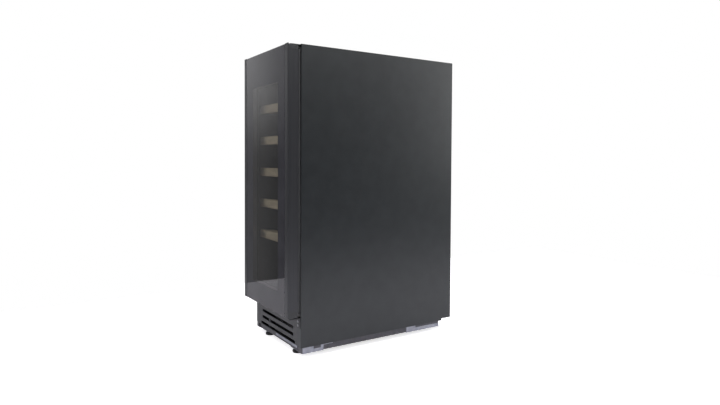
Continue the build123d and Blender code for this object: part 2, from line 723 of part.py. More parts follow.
# ---------------------------------------------------------------- cold air duct
guard_rings, guard_ring_half = (12.0, 22.0, 32.0), 3.0
guard_spokes, guard_spoke, guard_spoke_centre = 6, (28.0, 4.0), 24.0
vent_over_shelf, vent_pitch, vent_count, vent_size = 60.0, 52.0, 3, (40.0, 6.0)
with BuildPart() as duct_cover:
    block(both(duct_half_width), duct_y, duct_z)
    block(
        both(duct_half_width - liner_wall), (duct_y[0] + liner_wall, duct_y[1]),
        (duct_z[0] + liner_wall, duct_z[1] - liner_wall), mode=Mode.SUBTRACT,
    )
    with BuildSketch(Plane.XZ.offset(-(duct_y[0] + liner_wall))):
        with Locations((0, evaporator_fan_z)):
            for ring in guard_rings:
                Circle(ring + guard_ring_half)
                Circle(ring - guard_ring_half, mode=Mode.SUBTRACT)
            with PolarLocations(guard_spoke_centre, guard_spokes):
                Rectangle(*guard_spoke, mode=Mode.SUBTRACT)
        for low in shelf_low[:-1]:
            with Locations((0, low + vent_over_shelf)):
                with GridLocations(vent_pitch, 1, vent_count, 1):
                    SlotOverall(*vent_size)
    extrude(amount=liner_wall, mode=Mode.SUBTRACT)
    drop_holes((duct_z[0], duct_z[0] + liner_wall))
save(duct_cover, "duct_cover")


end_plate_half, fin_half, tube_past_plate = 0.8, 0.25, 4.0


def fin_block(half, y, z, count, tubes, name, stand_to):
    """Finned coil: end plates reach what carries it, thin fins between, tubes along X."""
    with BuildPart() as coil:
        step = 2 * half / (count - 1)
        for number in range(count):
            x = -half + number * step
            if number in (0, count - 1):
                block((x - end_plate_half, x + end_plate_half), (y[0], max(y[1], stand_to[0])),
                      (min(z[0], stand_to[1]), z[1]))
            else:
                block((x - fin_half, x + fin_half), y, z)
        for ty, tz in tubes:
            with BuildSketch(Plane.YZ.offset(-half - tube_past_plate)):
                with Locations((ty, tz)):
                    Circle(pipe_radius)
            extrude(amount=2 * (half + tube_past_plate))
    save(coil, name)


evaporator_half = duct_half_width - evaporator_side_room
evaporator_y = (duct_y[0] + evaporator_front_room, liner_rear_y - evaporator_rear_room)
evaporator_z = (duct_z[0] + evaporator_over_duct_base, evaporator_fan_z - evaporator_under_fan)
tube_low_z = evaporator_z[0] + evaporator_row_margin
row_count = int((evaporator_z[1] - evaporator_row_margin - tube_low_z) / evaporator_row_pitch) + 1
evaporator_tubes = [(drop_y, tube_low_z + row * evaporator_row_pitch) for row in range(row_count)]
fin_block(evaporator_half, evaporator_y, evaporator_z, evaporator_fins, evaporator_tubes, "evaporator",
          (liner_rear_y, evaporator_z[0]))

condenser_half = inner_x - condenser_side_gap
condenser_y = tuple(front_y + distance for distance in condenser_from_front)
condenser_z = tuple(tray_top + height for height in condenser_over_tray)
tube_front_y = condenser_y[0] + condenser_tube_inset[0]
tube_rear_y = condenser_y[1] - condenser_tube_inset[1]
condenser_rows = [tray_top + condenser_first_row + row * condenser_row_pitch for row in range(3)]
condenser_tubes = [(y, z) for z in condenser_rows for y in (tube_front_y, tube_rear_y)]
fin_block(condenser_half, condenser_y, condenser_z, condenser_fins, condenser_tubes, "condenser",
          (condenser_y[1], tray_top))

# ---------------------------------------------------------------- compressor
compressor_x, compressor_y = compressor_offset, (step_y + back_y) / 2
grommet_height, grommet_radius, grommet_neck, grommet_lip = 16.0, 9.0, 4.0, 3.0
base_plate, mount_hole, mount_inset = 3.0, 4.3, 8.0
shell_top_round, shell_low_round = 26.0, 14.0
seam_height, seam_width, seam_proud = 62.0, 4.0, 2.5
plate_z = tray_top + grommet_height
shell_low = plate_z + base_plate
base_plate_y = (compressor_y - 42, compressor_y + 36)
base_plate_half = compressor_radius + 10
mount_places = [(compressor_x + dx, y) for dx in both(compressor_radius)
                for y in (base_plate_y[0] + mount_inset, base_plate_y[1] - mount_inset)]
with BuildPart() as compressor:
    upright(compressor_x, compressor_y, (shell_low, shell_low + compressor_height), compressor_radius)
    fillet(compressor.edges().group_by(Axis.Z)[-1], shell_top_round)
    fillet(compressor.edges().group_by(Axis.Z)[0], shell_low_round)
    seam_z = (shell_low + seam_height, shell_low + seam_height + seam_width)
    upright(compressor_x, compressor_y, seam_z, compressor_radius + seam_proud)
    block((compressor_x - base_plate_half, compressor_x + base_plate_half), base_plate_y,
          (plate_z, shell_low))
    for x, y in mount_places:
        upright(x, y, (plate_z, shell_low), mount_hole, Mode.SUBTRACT)
save(compressor, "compressor")

with BuildPart() as compressor_mounts:
    for x, y in mount_places:
        upright(x, y, (tray_top, plate_z), grommet_radius)
        upright(x, y, (plate_z, shell_low + grommet_lip), grommet_neck)
save(compressor_mounts, "compressor_mounts")

shell_high = shell_low + compressor_height
pan_wall, pan_depth = 1.5, 18.0
with BuildPart() as drain_pan:
    pan_x, pan_y = (compressor_x - 48, compressor_x + 42), (compressor_y - 50, compressor_y + 50)
    block(pan_x, pan_y, (shell_high, shell_high + pan_depth))
    block((pan_x[0] + pan_wall, pan_x[1] - pan_wall), (pan_y[0] + pan_wall, pan_y[1] - pan_wall),
          (shell_high + pan_wall, shell_high + pan_depth), mode=Mode.SUBTRACT)
save(drain_pan, "drain_pan")

tube_wall, tube_over_pan, tube_rim = 1.5, 6.0, 4.0
tube_z = (shell_high + tube_over_pan, liner_step_z + tube_wall)
with BuildPart() as drain_tube:
    upright(drain_x, drop_y, (tube_z[0], liner_step_z), drain_radius)
    upright(drain_x, drop_y, (liner_step_z, tube_z[1]), drain_radius + tube_rim)
    upright(drain_x, drop_y, tube_z, drain_radius - tube_wall, Mode.SUBTRACT)
save(drain_tube, "drain_tube")

pipe_bend, side_run_past_liner, liquid_run_inset, suction_height = 10.0, 11.0, 5.0, 84.0


def pipe(points):
    with BuildLine() as route:
        FilletPolyline(*points, radius=pipe_bend)
    with BuildSketch(Plane(origin=route.line @ 0, z_dir=route.line % 0)) as outline:
        Circle(pipe_radius)
    sweep(outline.sketch, path=route.line)


side_run_x = liner_half_width + side_run_past_liner
liquid_run_x = liquid_run_inset - side_run_x
discharge_z = condenser_tubes[-1][1]
liquid_z = condenser_tubes[0][1]
suction_reach = compressor_radius ** 2 - (drop_y - compressor_y - pipe_radius) ** 2
evaporator_end = evaporator_half + tube_past_plate
evaporator_low_z = evaporator_tubes[0][1]
condenser_end = condenser_half + tube_past_plate
suction_z = shell_low + suction_height
with BuildPart() as refrigerant_pipes:
    pipe([(compressor_x - compressor_radius, compressor_y, discharge_z),
          (-side_run_x, compressor_y, discharge_z), (-side_run_x, tube_rear_y, discharge_z),
          (-condenser_end, tube_rear_y, discharge_z)])
    pipe([(-condenser_end, tube_front_y, liquid_z), (liquid_run_x, tube_front_y, liquid_z),
          (liquid_run_x, drop_y, liquid_z), (liquid_x, drop_y, liquid_z),
          (liquid_x, drop_y, evaporator_low_z), (-evaporator_end, drop_y, evaporator_low_z)])
    pipe([(evaporator_end, drop_y, evaporator_low_z), (suction_x, drop_y, evaporator_low_z),
          (suction_x, drop_y, suction_z), (compressor_x + suction_reach ** 0.5, drop_y, suction_z)])
save(refrigerant_pipes, "refrigerant_pipes")

box_wall = 2.0
box_x = (4.5 - inner_x, compressor_x - compressor_radius - 8)
box_y = (step_y + 20, back_y - 70)
box_z = (shell_high - 34, step_z - sheet)
with BuildPart() as power_board_box:
    block(box_x, box_y, box_z)
    block(*((low + box_wall, high - box_wall) for low, high in (box_x, box_y, box_z)),
          mode=Mode.SUBTRACT)
save(power_board_box, "power_board_box")

gland_bore, gland_length, gland_nut = 3.8, 12.0, 3.0
gland_y = (back_y - gland_length, back_y)
with BuildPart() as cord_gland:
    lengthways(gland_x, gland_z, gland_y, gland_radius)
    lengthways(gland_x, gland_z, (back_y - sheet - gland_nut, back_y - sheet), gland_radius + gland_nut)
    lengthways(gland_x, gland_z, gland_y, gland_bore, Mode.SUBTRACT)
save(cord_gland, "cord_gland")

# ---------------------------------------------------------------- control panel and light
panel_from_front, panel_depth, panel_height, panel_wall = 6.0, 78.0, 23.0, 2.0
panel_y = (front_y + panel_from_front, front_y + panel_from_front + panel_depth)
panel_z = (liner_ceiling - panel_height, liner_ceiling)
panel_front_y = (panel_y[0], panel_y[0] + panel_wall)
panel_half = liner_half_width - 17
lamp_half = panel_half - 28
button_z = (panel_z[0] + panel_z[1]) / 2
button_names = ("button_power", "button_up", "button_down")
button_x = [30 + index * button_pitch for index in range(len(button_names))]
display_x, display_half = -40.0, (22.0, 6.5)
lamp_y = (panel_y[0] + 30, panel_y[0] + 46)
with BuildPart() as control_panel:
    block(both(panel_half), panel_y, panel_z)
    block(both(panel_half - panel_wall), (panel_front_y[1], panel_y[1] - panel_wall),
          (panel_z[0] + panel_wall, panel_z[1]), mode=Mode.SUBTRACT)
    for x in button_x:
        lengthways(x, button_z, panel_front_y, button_radius + button_gap, Mode.SUBTRACT)
    block((display_x - display_half[0], display_x + display_half[0]), panel_front_y,
          (button_z - display_half[1], button_z + display_half[1]), mode=Mode.SUBTRACT)
    block(both(lamp_half), lamp_y, (panel_z[0], panel_z[0] + panel_wall), mode=Mode.SUBTRACT)
save(control_panel, "control_panel")

lens_gap, lens_thickness, lens_flange = 0.2, 1.5, (3.0, 1.0)
with BuildPart() as display_window:
    for grow_x, grow_z, y in (
        (*lens_flange, (panel_front_y[1], panel_front_y[1] + lens_thickness)),
        (-lens_gap, -lens_gap, (panel_y[0] + lens_gap, panel_front_y[1])),
    ):
        block((display_x - display_half[0] - grow_x, display_x + display_half[0] + grow_x), y,
              (button_z - display_half[1] - grow_z, button_z + display_half[1] + grow_z))
save(display_window, "display_window")

lamp_proud, lamp_flange = 0.5, 2.0
lamp_top = panel_z[0] + panel_wall
with BuildPart() as light_lens:
    block(both(lamp_half - lens_gap), (lamp_y[0] + lens_gap, lamp_y[1] - lens_gap),
          (panel_z[0] - lamp_proud, lamp_top))
    block(both(lamp_half + lamp_flange), (lamp_y[0] - lamp_flange, lamp_y[1] + lamp_flange),
          (lamp_top, lamp_top + lens_thickness))
save(light_lens, "light_lens")

button_proud, button_travel_gap, button_flange, button_edge = 1.5, 0.5, (1.5, 1.2), 0.6
flange_front_y = panel_front_y[1] + button_travel_gap
for name, x in zip(button_names, button_x):
    with BuildPart() as button:
        lengthways(x, button_z, (panel_y[0] - button_proud, flange_front_y), button_radius)
        lengthways(x, button_z, (flange_front_y, flange_front_y + button_flange[0]),
                   button_radius + button_flange[1])
        fillet(button.edges().group_by(Axis.Y)[0], button_edge)
    save(button, name)
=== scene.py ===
"""Looks of the slim under-counter wine cooler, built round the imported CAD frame. Metres."""
import math

import bmesh
import bpy
from mathutils import Matrix, Vector


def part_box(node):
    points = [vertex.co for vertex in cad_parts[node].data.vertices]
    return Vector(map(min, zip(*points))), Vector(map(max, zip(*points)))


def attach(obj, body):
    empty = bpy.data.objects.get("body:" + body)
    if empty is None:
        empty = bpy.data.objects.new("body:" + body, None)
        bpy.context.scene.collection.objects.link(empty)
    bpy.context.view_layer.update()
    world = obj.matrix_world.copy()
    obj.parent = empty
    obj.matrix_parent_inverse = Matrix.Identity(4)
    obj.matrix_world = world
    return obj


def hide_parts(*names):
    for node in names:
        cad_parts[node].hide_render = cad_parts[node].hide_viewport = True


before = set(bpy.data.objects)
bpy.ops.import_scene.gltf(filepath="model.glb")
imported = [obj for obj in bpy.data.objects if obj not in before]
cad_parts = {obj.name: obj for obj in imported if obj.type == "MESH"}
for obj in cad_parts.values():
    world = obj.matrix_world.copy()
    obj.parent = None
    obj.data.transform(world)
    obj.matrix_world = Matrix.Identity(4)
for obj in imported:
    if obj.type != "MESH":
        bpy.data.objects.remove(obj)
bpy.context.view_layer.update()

# ------------------------------------------------------------------ cabinet skin
# Folded 0.8 mm steel, painted with a fine black powder coat that shows a slight orange peel.
# The sides, top and back are foamed together into one shell; the rear cover is screwed on.


def node(tree, kind, sockets=None, **properties):
    """A shader node with its properties, and each socket given a value or fed by a link."""
    made = tree.nodes.new("ShaderNode" + kind)
    for key, value in properties.items():
        setattr(made, key, value)
    for key, value in (sockets or {}).items():
        if isinstance(value, bpy.types.NodeSocket):
            tree.links.new(value, made.inputs[key])
        else:
            made.inputs[key].default_value = value
    return made


def effect(name, inputs, outputs, build):
    """A shader node group. build(tree, inputs) returns what feeds each output."""
    tree = bpy.data.node_groups.new(name, "ShaderNodeTree")
    for way, sockets in (("INPUT", inputs), ("OUTPUT", outputs)):
        for label, kind in sockets:
            tree.interface.new_socket(label, in_out=way, socket_type="NodeSocket" + kind)
    fed = tree.nodes.new("NodeGroupInput").outputs
    sink = tree.nodes.new("NodeGroupOutput").inputs
    for label, socket in build(tree, fed).items():
        tree.links.new(socket, sink[label])
    return tree


def build_mottle(tree, fed):
    place = node(tree, "TexCoord").outputs["Object"]
    cloud = node(tree, "TexNoise", {"Vector": place, "Scale": fed["Scale"], "Detail": 4.0})
    spread = node(tree, "MapRange", {"Value": cloud.outputs["Fac"], "From Min": 0.32, "From Max": 0.68})
    blend = node(tree, "Mix", {0: spread.outputs["Result"], 6: fed["Dark"], 7: fed["Light"]},
                 data_type="RGBA")
    finer = node(tree, "Math", {0: fed["Scale"], 1: 3.7}, operation="MULTIPLY")
    wear = node(tree, "TexNoise", {"Vector": place, "Scale": finer.outputs[0], "Detail": 3.0})
    rough = node(tree, "MapRange", {
        "Value": wear.outputs["Fac"], "From Min": 0.3, "From Max": 0.7,
        "To Min": fed["Smooth"], "To Max": fed["Rough"]})
    return {"Color": blend.outputs[2], "Roughness": rough.outputs["Result"]}


def build_relief(tree, fed):
    place = node(tree, "TexCoord").outputs["Object"]
    grain = node(tree, "TexNoise", {"Vector": place, "Scale": fed["Scale"], "Detail": 2.0})
    bump = node(tree, "Bump", {"Height": grain.outputs["Fac"], "Distance": fed["Depth"],
                               "Strength": 1.0})
    return {"Normal": bump.outputs["Normal"]}


mottle = effect(
    "mottle",
    [("Dark", "Color"), ("Light", "Color"), ("Scale", "Float"), ("Smooth", "Float"),
     ("Rough", "Float")],
    [("Color", "Color"), ("Roughness", "Float")], build_mottle)
relief = effect("relief", [("Scale", "Float"), ("Depth", "Float")], [("Normal", "Vector")],
                build_relief)


def principled(name, **constants):
    """A new material with one Principled shader whose constants are set on its own sockets."""
    made = bpy.data.materials.new(name)
    made.use_nodes = True
    shader = made.node_tree.nodes["Principled BSDF"]
    for key, value in constants.items():
        shader.inputs[key.replace("_", " ")].default_value = value
    return made, made.node_tree, shader


def surface(name, dark, light, rough, scale, bumps, **constants):
    """A finish of two mottled tones, a roughness between two values, and a fine relief."""
    made, tree, shader = principled(name, **constants)
    tones = node(tree, "Group", {"Dark": (*dark, 1), "Light": (*light, 1), "Scale": scale,
                                 "Smooth": rough[0], "Rough": rough[1]}, node_tree=mottle)
    fine = node(tree, "Group", {"Scale": bumps[0], "Depth": bumps[1]}, node_tree=relief)
    tree.links.new(tones.outputs["Color"], shader.inputs["Base Color"])
    tree.links.new(tones.outputs["Roughness"], shader.inputs["Roughness"])
    tree.links.new(fine.outputs["Normal"], shader.inputs["Normal"])
    return made


def soften(thing, width, segments=2):
    """Small rounded edges: welds the mesh, bevels its sharp edges, and weights the normals."""
    weld = thing.modifiers.new("weld", "WELD")
    weld.merge_threshold = 0.000005
    bevel = thing.modifiers.new("edges", "BEVEL")
    bevel.width = width
    bevel.segments = segments
    bevel.limit_method = "ANGLE"
    bevel.angle_limit = math.radians(35)
    bevel.use_clamp_overlap = True
    normals = thing.modifiers.new("normals", "WEIGHTED_NORMAL")
    normals.weight = 80
    normals.keep_sharp = False


def dress(names, finish, edge=0.0):
    """Gives frame nodes their finish and, where edge is not 0, small rounded edges."""
    for name in names:
        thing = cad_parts[name]
        for holder in thing.material_slots:
            holder.material = finish
        if edge:
            soften(thing, edge)


powder_black = surface("powder_black", (0.0125, 0.0152, 0.0172), (0.0170, 0.0200, 0.0225),
                       (0.31, 0.39), 26, (1500, 0.000012))
dress(["side_panel_left", "side_panel_right", "top_panel", "back_panel"], powder_black, 0.0003)
dress(["compressor_cover"], powder_black, 0.0002)

# ------------------------------------------------------------------ machine deck
# Steel sheet, 1 mm, powder coated with the skin because its front lip shows below the
# liner when the door is open. Folded into the step and spot welded to the sides.
dress(["machine_deck"], powder_black, 0.0002)

# ------------------------------------------------------------------ base rails and tray
# Steel, 1.5 and 1 mm, dipped in thin dark grey primer. Spot welded under the cold box;
# only the rails' lower edges and the tray's front flange show below the skin.
rail_primer = surface("rail_primer", (0.052, 0.051, 0.060), (0.074, 0.072, 0.083), (0.34, 0.48), 90,
                      (900, 0.00002), Metallic=0.3)
dress(["base_rails", "base_tray"], rail_primer, 0.0002)

# ------------------------------------------------------------------ foot brackets
# Zinc-plated pressed steel, 1.5 mm, folded up outside the rails and below the painted skin.
# A welded nut over each foot takes its threaded stem.
zinc_plate = surface("zinc_plate", (0.24, 0.25, 0.29), (0.35, 0.36, 0.41), (0.34, 0.46), 60,
                     (700, 0.00002), Metallic=0.75)
dress(["foot_brackets"], zinc_plate, 0.0003)


def add_mesh(name, points, faces, finish, smooth=True):
    """A new mesh object in the row frame."""
    data = bpy.data.meshes.new(name)
    data.from_pydata([tuple(p) for p in points], [], faces)
    data.materials.append(finish)
    data.polygons.foreach_set("use_smooth", [smooth] * len(data.polygons))
    data.update()
    made = bpy.data.objects.new(name, data)
    bpy.context.scene.collection.objects.link(made)
    return made


def place_piece(made, body, slot, *replaced):
    """The piece rides on a body and stands for frame nodes, which it hides. slot is not used."""
    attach(made, body)
    if replaced:
        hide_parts(*replaced)


# ------------------------------------------------------------------ drip lip
# A bright strip along the right half of the grille's lower edge, taken to be a zinc-plated
# steel angle, 1 mm, fixed to the tray's front rim.


def prism_faces(start, size):
    """The walls and both ends between two rings of points, the first beginning at start."""
    near, far = range(start, start + size), range(start + size, start + 2 * size)
    walls = [(near[i], near[(i + 1) % size], far[(i + 1) % size], far[i]) for i in range(size)]
    return walls + [tuple(near)[::-1], tuple(far)]


def sweep(name, profile, low_x, high_x, finish):
    """A closed profile of (y, z) points swept along X."""
    points = [(x, y, z) for x in (low_x, high_x) for y, z in profile]
    return add_mesh(name, points, prism_faces(0, len(profile)), finish, smooth=False)


kick_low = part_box("kick_grille")[0]
lip_proud, lip_drop = 0.0008, 0.0036
lip_y, lip_z = kick_low.y - lip_proud, kick_low.z - lip_drop
lip_start, lip_end = -0.006, 0.127
lip_section = [(0.8, 7.2), (0.3, 7.0), (0.0, 6.5), (0.0, 0.8), (0.3, 0.2), (0.8, 0.0), (3.4, 0.0),
               (3.4, 1.0), (1.0, 1.0)]
drip_lip = sweep("drip_lip", [(lip_y + back / 1000, lip_z + up / 1000) for back, up in lip_section],
                 lip_start, lip_end, zinc_plate)
place_piece(drip_lip, "cabinet", "zinc_plate")

# ------------------------------------------------------------------ rail ends
# Small steel plates, taken to be welded across the rails' front ends and dipped in primer
# with them. They close the corners beside the grille.
rail_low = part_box("base_rails")[0]
end_inner, end_outer, end_tall = 0.1304, 0.1464, 0.0150
end_back, end_front = rail_low.y - 0.0001, rail_low.y - 0.0009
end_section = [(end_back, rail_low.z), (end_back, rail_low.z + end_tall),
               (end_front, rail_low.z + end_tall), (end_front, rail_low.z)]
for side, low_x, high_x in (("left", -end_outer, -end_inner), ("right", end_inner, end_outer)):
    rail_end = sweep("rail_end_" + side, end_section, low_x, high_x, rail_primer)
    place_piece(rail_end, "cabinet", "rail_primer")

# ------------------------------------------------------------------ insulation
# Pale yellow polyurethane foam, blown in place between the liner and the skin.
# It bonds the two together and is seen only where the machine compartment is open.
foam = surface("foam", (0.62, 0.52, 0.30), (0.74, 0.65, 0.42), (0.8, 0.95), 45, (420, 0.0003))
dress(["insulation"], foam)

# ------------------------------------------------------------------ inner liner
# Vacuum-formed black polystyrene, 2 mm, with rounded inside corners and a flat lip
# that tucks in behind the steel face. Foamed in place.
liner_low, liner_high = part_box("inner_liner")
deck_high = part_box("machine_deck")[1]
liner_wall, lip = 0.002, 0.0045
inside = liner_high.x - lip
step_z = deck_high.z
face_y = liner_low.y
step_y, step_rise, corner_round = 0.074, 0.032, 0.009
floor_z, ceiling_z = liner_low.z + lip + 0.0005, liner_high.z - lip - 0.0005
ledge_z, rear_y = step_z + step_rise, liner_high.y - liner_wall
outline = [(face_y, floor_z), (step_y, floor_z), (step_y, ledge_z), (rear_y, ledge_z),
           (rear_y, ceiling_z), (face_y, ceiling_z)]
shell = bmesh.new()
sides = [[shell.verts.new((x, y, z)) for y, z in outline] for x in (-inside, inside)]
count = len(outline)
for i in range(count - 1):
    shell.faces.new((sides[0][i], sides[0][i + 1], sides[1][i + 1], sides[1][i]))
shell.faces.new(sides[0][::-1])
shell.faces.new(sides[1])
bmesh.ops.recalc_face_normals(shell, faces=shell.faces)
inner_edges = [e for e in shell.edges if len(e.link_faces) == 2]
bmesh.ops.bevel(shell, geom=inner_edges, offset=corner_round, segments=5, profile=0.5, affect="EDGES")
rim = [e for e in shell.edges if len(e.link_faces) == 1]
grown = bmesh.ops.extrude_edge_only(shell, edges=rim)
middle_z = (liner_low.z + liner_high.z) / 2
lip_reach, straight_half = lip - 0.0002, 0.318
for v in grown["geom"]:
    if isinstance(v, bmesh.types.BMVert):
        v.co.x += math.copysign(lip_reach, v.co.x)
        if abs(v.co.z - middle_z) > straight_half:
            v.co.z += math.copysign(lip_reach, v.co.z - middle_z)
bmesh.ops.recalc_face_normals(shell, faces=shell.faces)
liner_black = surface("liner_black", (0.034, 0.034, 0.037), (0.046, 0.046, 0.05), (0.45, 0.6), 12,
                      (900, 0.00003))
liner_data = bpy.data.meshes.new("liner_shell")
shell.to_mesh(liner_data)
shell.free()
liner_data.materials.append(liner_black)
liner_data.polygons.foreach_set("use_smooth", [True] * len(liner_data.polygons))
liner_shell = bpy.data.objects.new("liner_shell", liner_data)
bpy.context.scene.collection.objects.link(liner_shell)
wall = liner_shell.modifiers.new("wall", "SOLIDIFY")
wall.thickness = liner_wall - 0.0005
wall.offset = 1.0
place_piece(liner_shell, "cabinet", "liner_plastic", "inner_liner")

# ------------------------------------------------------------------ kick grille
# Moulded black ABS, 3 mm, clipped between the steel face flanges under the door.
# Its three slots let the condenser fan draw room air.
grille_black = surface("grille_black", (0.021, 0.022, 0.025), (0.029, 0.030, 0.034), (0.36, 0.46),
                       30, (1300, 0.00002))
dress(["kick_grille"], grille_black, 0.0006)

# ------------------------------------------------------------------ door stiles
# Extruded aluminium, hollow, black anodised with faint draw lines along the length.
# They are bonded to the plastic frame and the outer glass; the left one has a finger groove.


def build_lines(tree, fed):
    place = node(tree, "TexCoord").outputs["Object"]
    stretched = node(tree, "Mapping", {"Vector": place, "Scale": (2600, 2600, 3)})
    lines = node(tree, "TexNoise", {"Vector": stretched.outputs["Vector"], "Scale": 1.0,
                                    "Detail": 3.0})
    spread = node(tree, "MapRange", {"Value": lines.outputs["Fac"], "From Min": 0.3,
                                     "From Max": 0.7})
    blend = node(tree, "Mix", {0: spread.outputs["Result"], 6: fed["Dark"], 7: fed["Light"]},
                 data_type="RGBA")
    rough = node(tree, "MapRange", {"Value": spread.outputs["Result"], "To Min": 0.30,
                                    "To Max": 0.42})
    return {"Color": blend.outputs[2], "Roughness": rough.outputs["Result"]}


draw_lines = effect("draw_lines", [("Dark", "Color"), ("Light", "Color")],
                    [("Color", "Color"), ("Roughness", "Float")], build_lines)
anodised, tree, shader = principled("anodised_black", Metallic=0.35)
drawn = node(tree, "Group", {"Dark": (0.026, 0.027, 0.031, 1), "Light": (0.040, 0.041, 0.046, 1)},
             node_tree=draw_lines)
tree.links.new(drawn.outputs["Color"], shader.inputs["Base Color"])
tree.links.new(drawn.outputs["Roughness"], shader.inputs["Roughness"])
dress(["door_stile_left", "door_stile_right"], anodised, 0.0003)

# ------------------------------------------------------------------ door caps and inner frame
# Moulded black plastic. The caps plug the stiles' ends and hold the hinge bushes;
# the inner frame is filled with foam and carries the inner pane and the gasket.
moulded_black = surface("moulded_black", (0.017, 0.0175, 0.0195), (0.024, 0.025, 0.028),
                        (0.36, 0.5), 40, (1400, 0.000025))
dress(["door_top_cap", "door_bottom_cap"], moulded_black, 0.0005)
dress(["door_inner_frame"], moulded_black, 0.0005)

# ------------------------------------------------------------------ door glass
# Double glazing: 4 mm grey-tinted outer pane over the whole front, 4 mm clear inner pane,
# bonded to a folded aluminium spacer and sealed round the edge.


def glass(name, tint, through, roughness, bend):
    """Glass that colours what is behind it, and lets lamps through in the lighter through colour,
    painted light that brightens what lies behind.
    """
    made, tree, shader = principled(name, IOR=bend)
    shader.inputs["Transmission Weight"].default_value = 1.0
    tones = node(tree, "Group", {"Dark": (*tint, 1), "Light": (*(c * 1.04 for c in tint), 1),
                                 "Scale": 6, "Smooth": roughness, "Rough": roughness * 1.5},
                 node_tree=mottle)
    tree.links.new(tones.outputs["Color"], shader.inputs["Base Color"])
    tree.links.new(tones.outputs["Roughness"], shader.inputs["Roughness"])
    clear = node(tree, "BsdfTransparent", {"Color": (*through, 1)})
    ray = node(tree, "LightPath")
    both = node(tree, "MixShader", {0: ray.outputs["Is Shadow Ray"], 1: shader.outputs[0],
                                    2: clear.outputs[0]})
    tree.links.new(both.outputs[0], tree.nodes["Material Output"].inputs["Surface"])
    return made


# Painted light: lamps pass the panes at 0.90 and 0.97, far lighter than the tints the camera sees, so
# the cabinet inside is lit brighter.
tinted = glass("tinted_glass", (0.48, 0.47, 0.49), (0.90, 0.89, 0.91), 0.012, 1.45)
clear_pane = glass("clear_glass", (0.93, 0.96, 0.95), (0.97, 0.985, 0.98), 0.008, 1.2)
dress(["door_glass_outer"], tinted, 0.0006)
dress(["door_glass_inner"], clear_pane)

# ------------------------------------------------------------------ glass border
# Black ceramic print fired on the rear of the outer pane. It hides the stiles' inner edges,
# the spacer and the frame, and leaves the clear window with small rounded corners.
outer_low, outer_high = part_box("door_glass_outer")
spacer_low, spacer_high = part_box("glazing_spacer")
spacer_width = 0.007
window = (spacer_high.x - spacer_width, spacer_low.z + spacer_width, spacer_high.z - spacer_width)
print_front, print_back = outer_high.y - 0.0004, outer_high.y - 0.0001
corner, corner_steps = 0.004, 6


def rounded(half, low, high, radius, steps):
    """Points round a rectangle with rounded corners, seen from the front."""
    points = []
    for cx, cz, start in ((half - radius, high - radius, 0), (radius - half, high - radius, 90),
                          (radius - half, low + radius, 180), (half - radius, low + radius, 270)):
        for i in range(steps + 1):
            turn = math.radians(start + 90 * i / steps)
            points.append((cx + radius * math.cos(turn), cz + radius * math.sin(turn)))
    return points


rings = [rounded(outer_high.x - 0.0006, outer_low.z + 0.0006, outer_high.z - 0.0006, 0.0008,
                 corner_steps), rounded(*window, corner, corner_steps)]
points, faces = [], []
for y in (print_front, print_back):
    for ring in rings:
        points += [(x, y, z) for x, z in ring]
size = len(rings[0])
for i in range(size):
    j = (i + 1) % size
    faces.append((i, size + i, size + j, j))
    faces.append((2 * size + i, 2 * size + j, 3 * size + j, 3 * size + i))
    faces.append((i, j, 2 * size + j, 2 * size + i))
    faces.append((size + i, 3 * size + i, 3 * size + j, size + j))
print_black = surface("print_black", (0.034, 0.034, 0.042), (0.046, 0.046, 0.056), (0.6, 0.7),
                      18, (800, 0.000005), Specular_IOR_Level=0.1)
glass_border = add_mesh("glass_border", points, faces, print_black, smooth=False)
place_piece(glass_border, "door", "tinted_glass")

# ------------------------------------------------------------------ glazing spacer
# Folded aluminium strip, dark grey, with two rows of breathing holes towards the cavity; the holes are
# near-black dots of painted shade, not cut.
# It is bonded between the panes and filled with drying beads.
spacer_grey, tree, shader = principled("spacer_grey", Metallic=0.9)
place = node(tree, "TexCoord").outputs["Object"]
# Painted shade: each hole is a near-black dot where its inside would lie in shadow.
holes = node(tree, "TexVoronoi", {"Vector": place, "Scale": 260, "Randomness": 0.0})
painted_hole_shade = node(tree, "MapRange", {"Value": holes.outputs["Distance"], "From Min": 0.16,
                               "From Max": 0.22})
tones = node(tree, "Mix", {0: painted_hole_shade.outputs["Result"], 6: (0.01, 0.01, 0.01, 1),
                           7: (0.13, 0.13, 0.14, 1)}, data_type="RGBA")
tree.links.new(tones.outputs[2], shader.inputs["Base Color"])
scuffs = node(tree, "TexNoise", {"Vector": place, "Scale": 300.0})
rough = node(tree, "MapRange", {"Value": scuffs.outputs["Fac"], "To Min": 0.3, "To Max": 0.5})
tree.links.new(rough.outputs["Result"], shader.inputs["Roughness"])
dress(["glazing_spacer"], spacer_grey)

# ------------------------------------------------------------------ door gasket
# Extruded black PVC with a magnet strip in its nose and two soft bellows. It plugs into
# the frame's rear groove, mitred at the corners; a dust lip fills the gap on the hinge side.
gasket_low, gasket_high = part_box("door_gasket")
depth = gasket_high.y - gasket_low.y
profile = [
    (0.0, 0.0), (0.0, 0.10), (0.6, 0.16), (2.6, 0.24), (3.4, 0.34), (2.2, 0.44), (2.0, 0.50),
    (3.2, 0.58), (2.6, 0.66), (1.4, 0.72), (1.2, 0.92), (1.7, 1.0), (13.4, 1.0), (13.9, 0.92),
    (13.7, 0.72), (12.6, 0.66), (12.2, 0.58), (13.2, 0.50), (13.0, 0.44), (12.0, 0.34),
    (12.8, 0.24), (15.0, 0.16), (15.9, 0.10), (15.9, 0.0),
]
points, faces = [], []
corners = [(1, 1), (-1, 1), (-1, -1), (1, -1)]
for sx, sz in corners:
    for inset, along in profile:
        x = sx * (gasket_high.x - inset / 1000)
        z = (gasket_high.z - inset / 1000) if sz > 0 else (gasket_low.z + inset / 1000)
        points.append((x, gasket_low.y + along * depth, z))
size = len(profile)
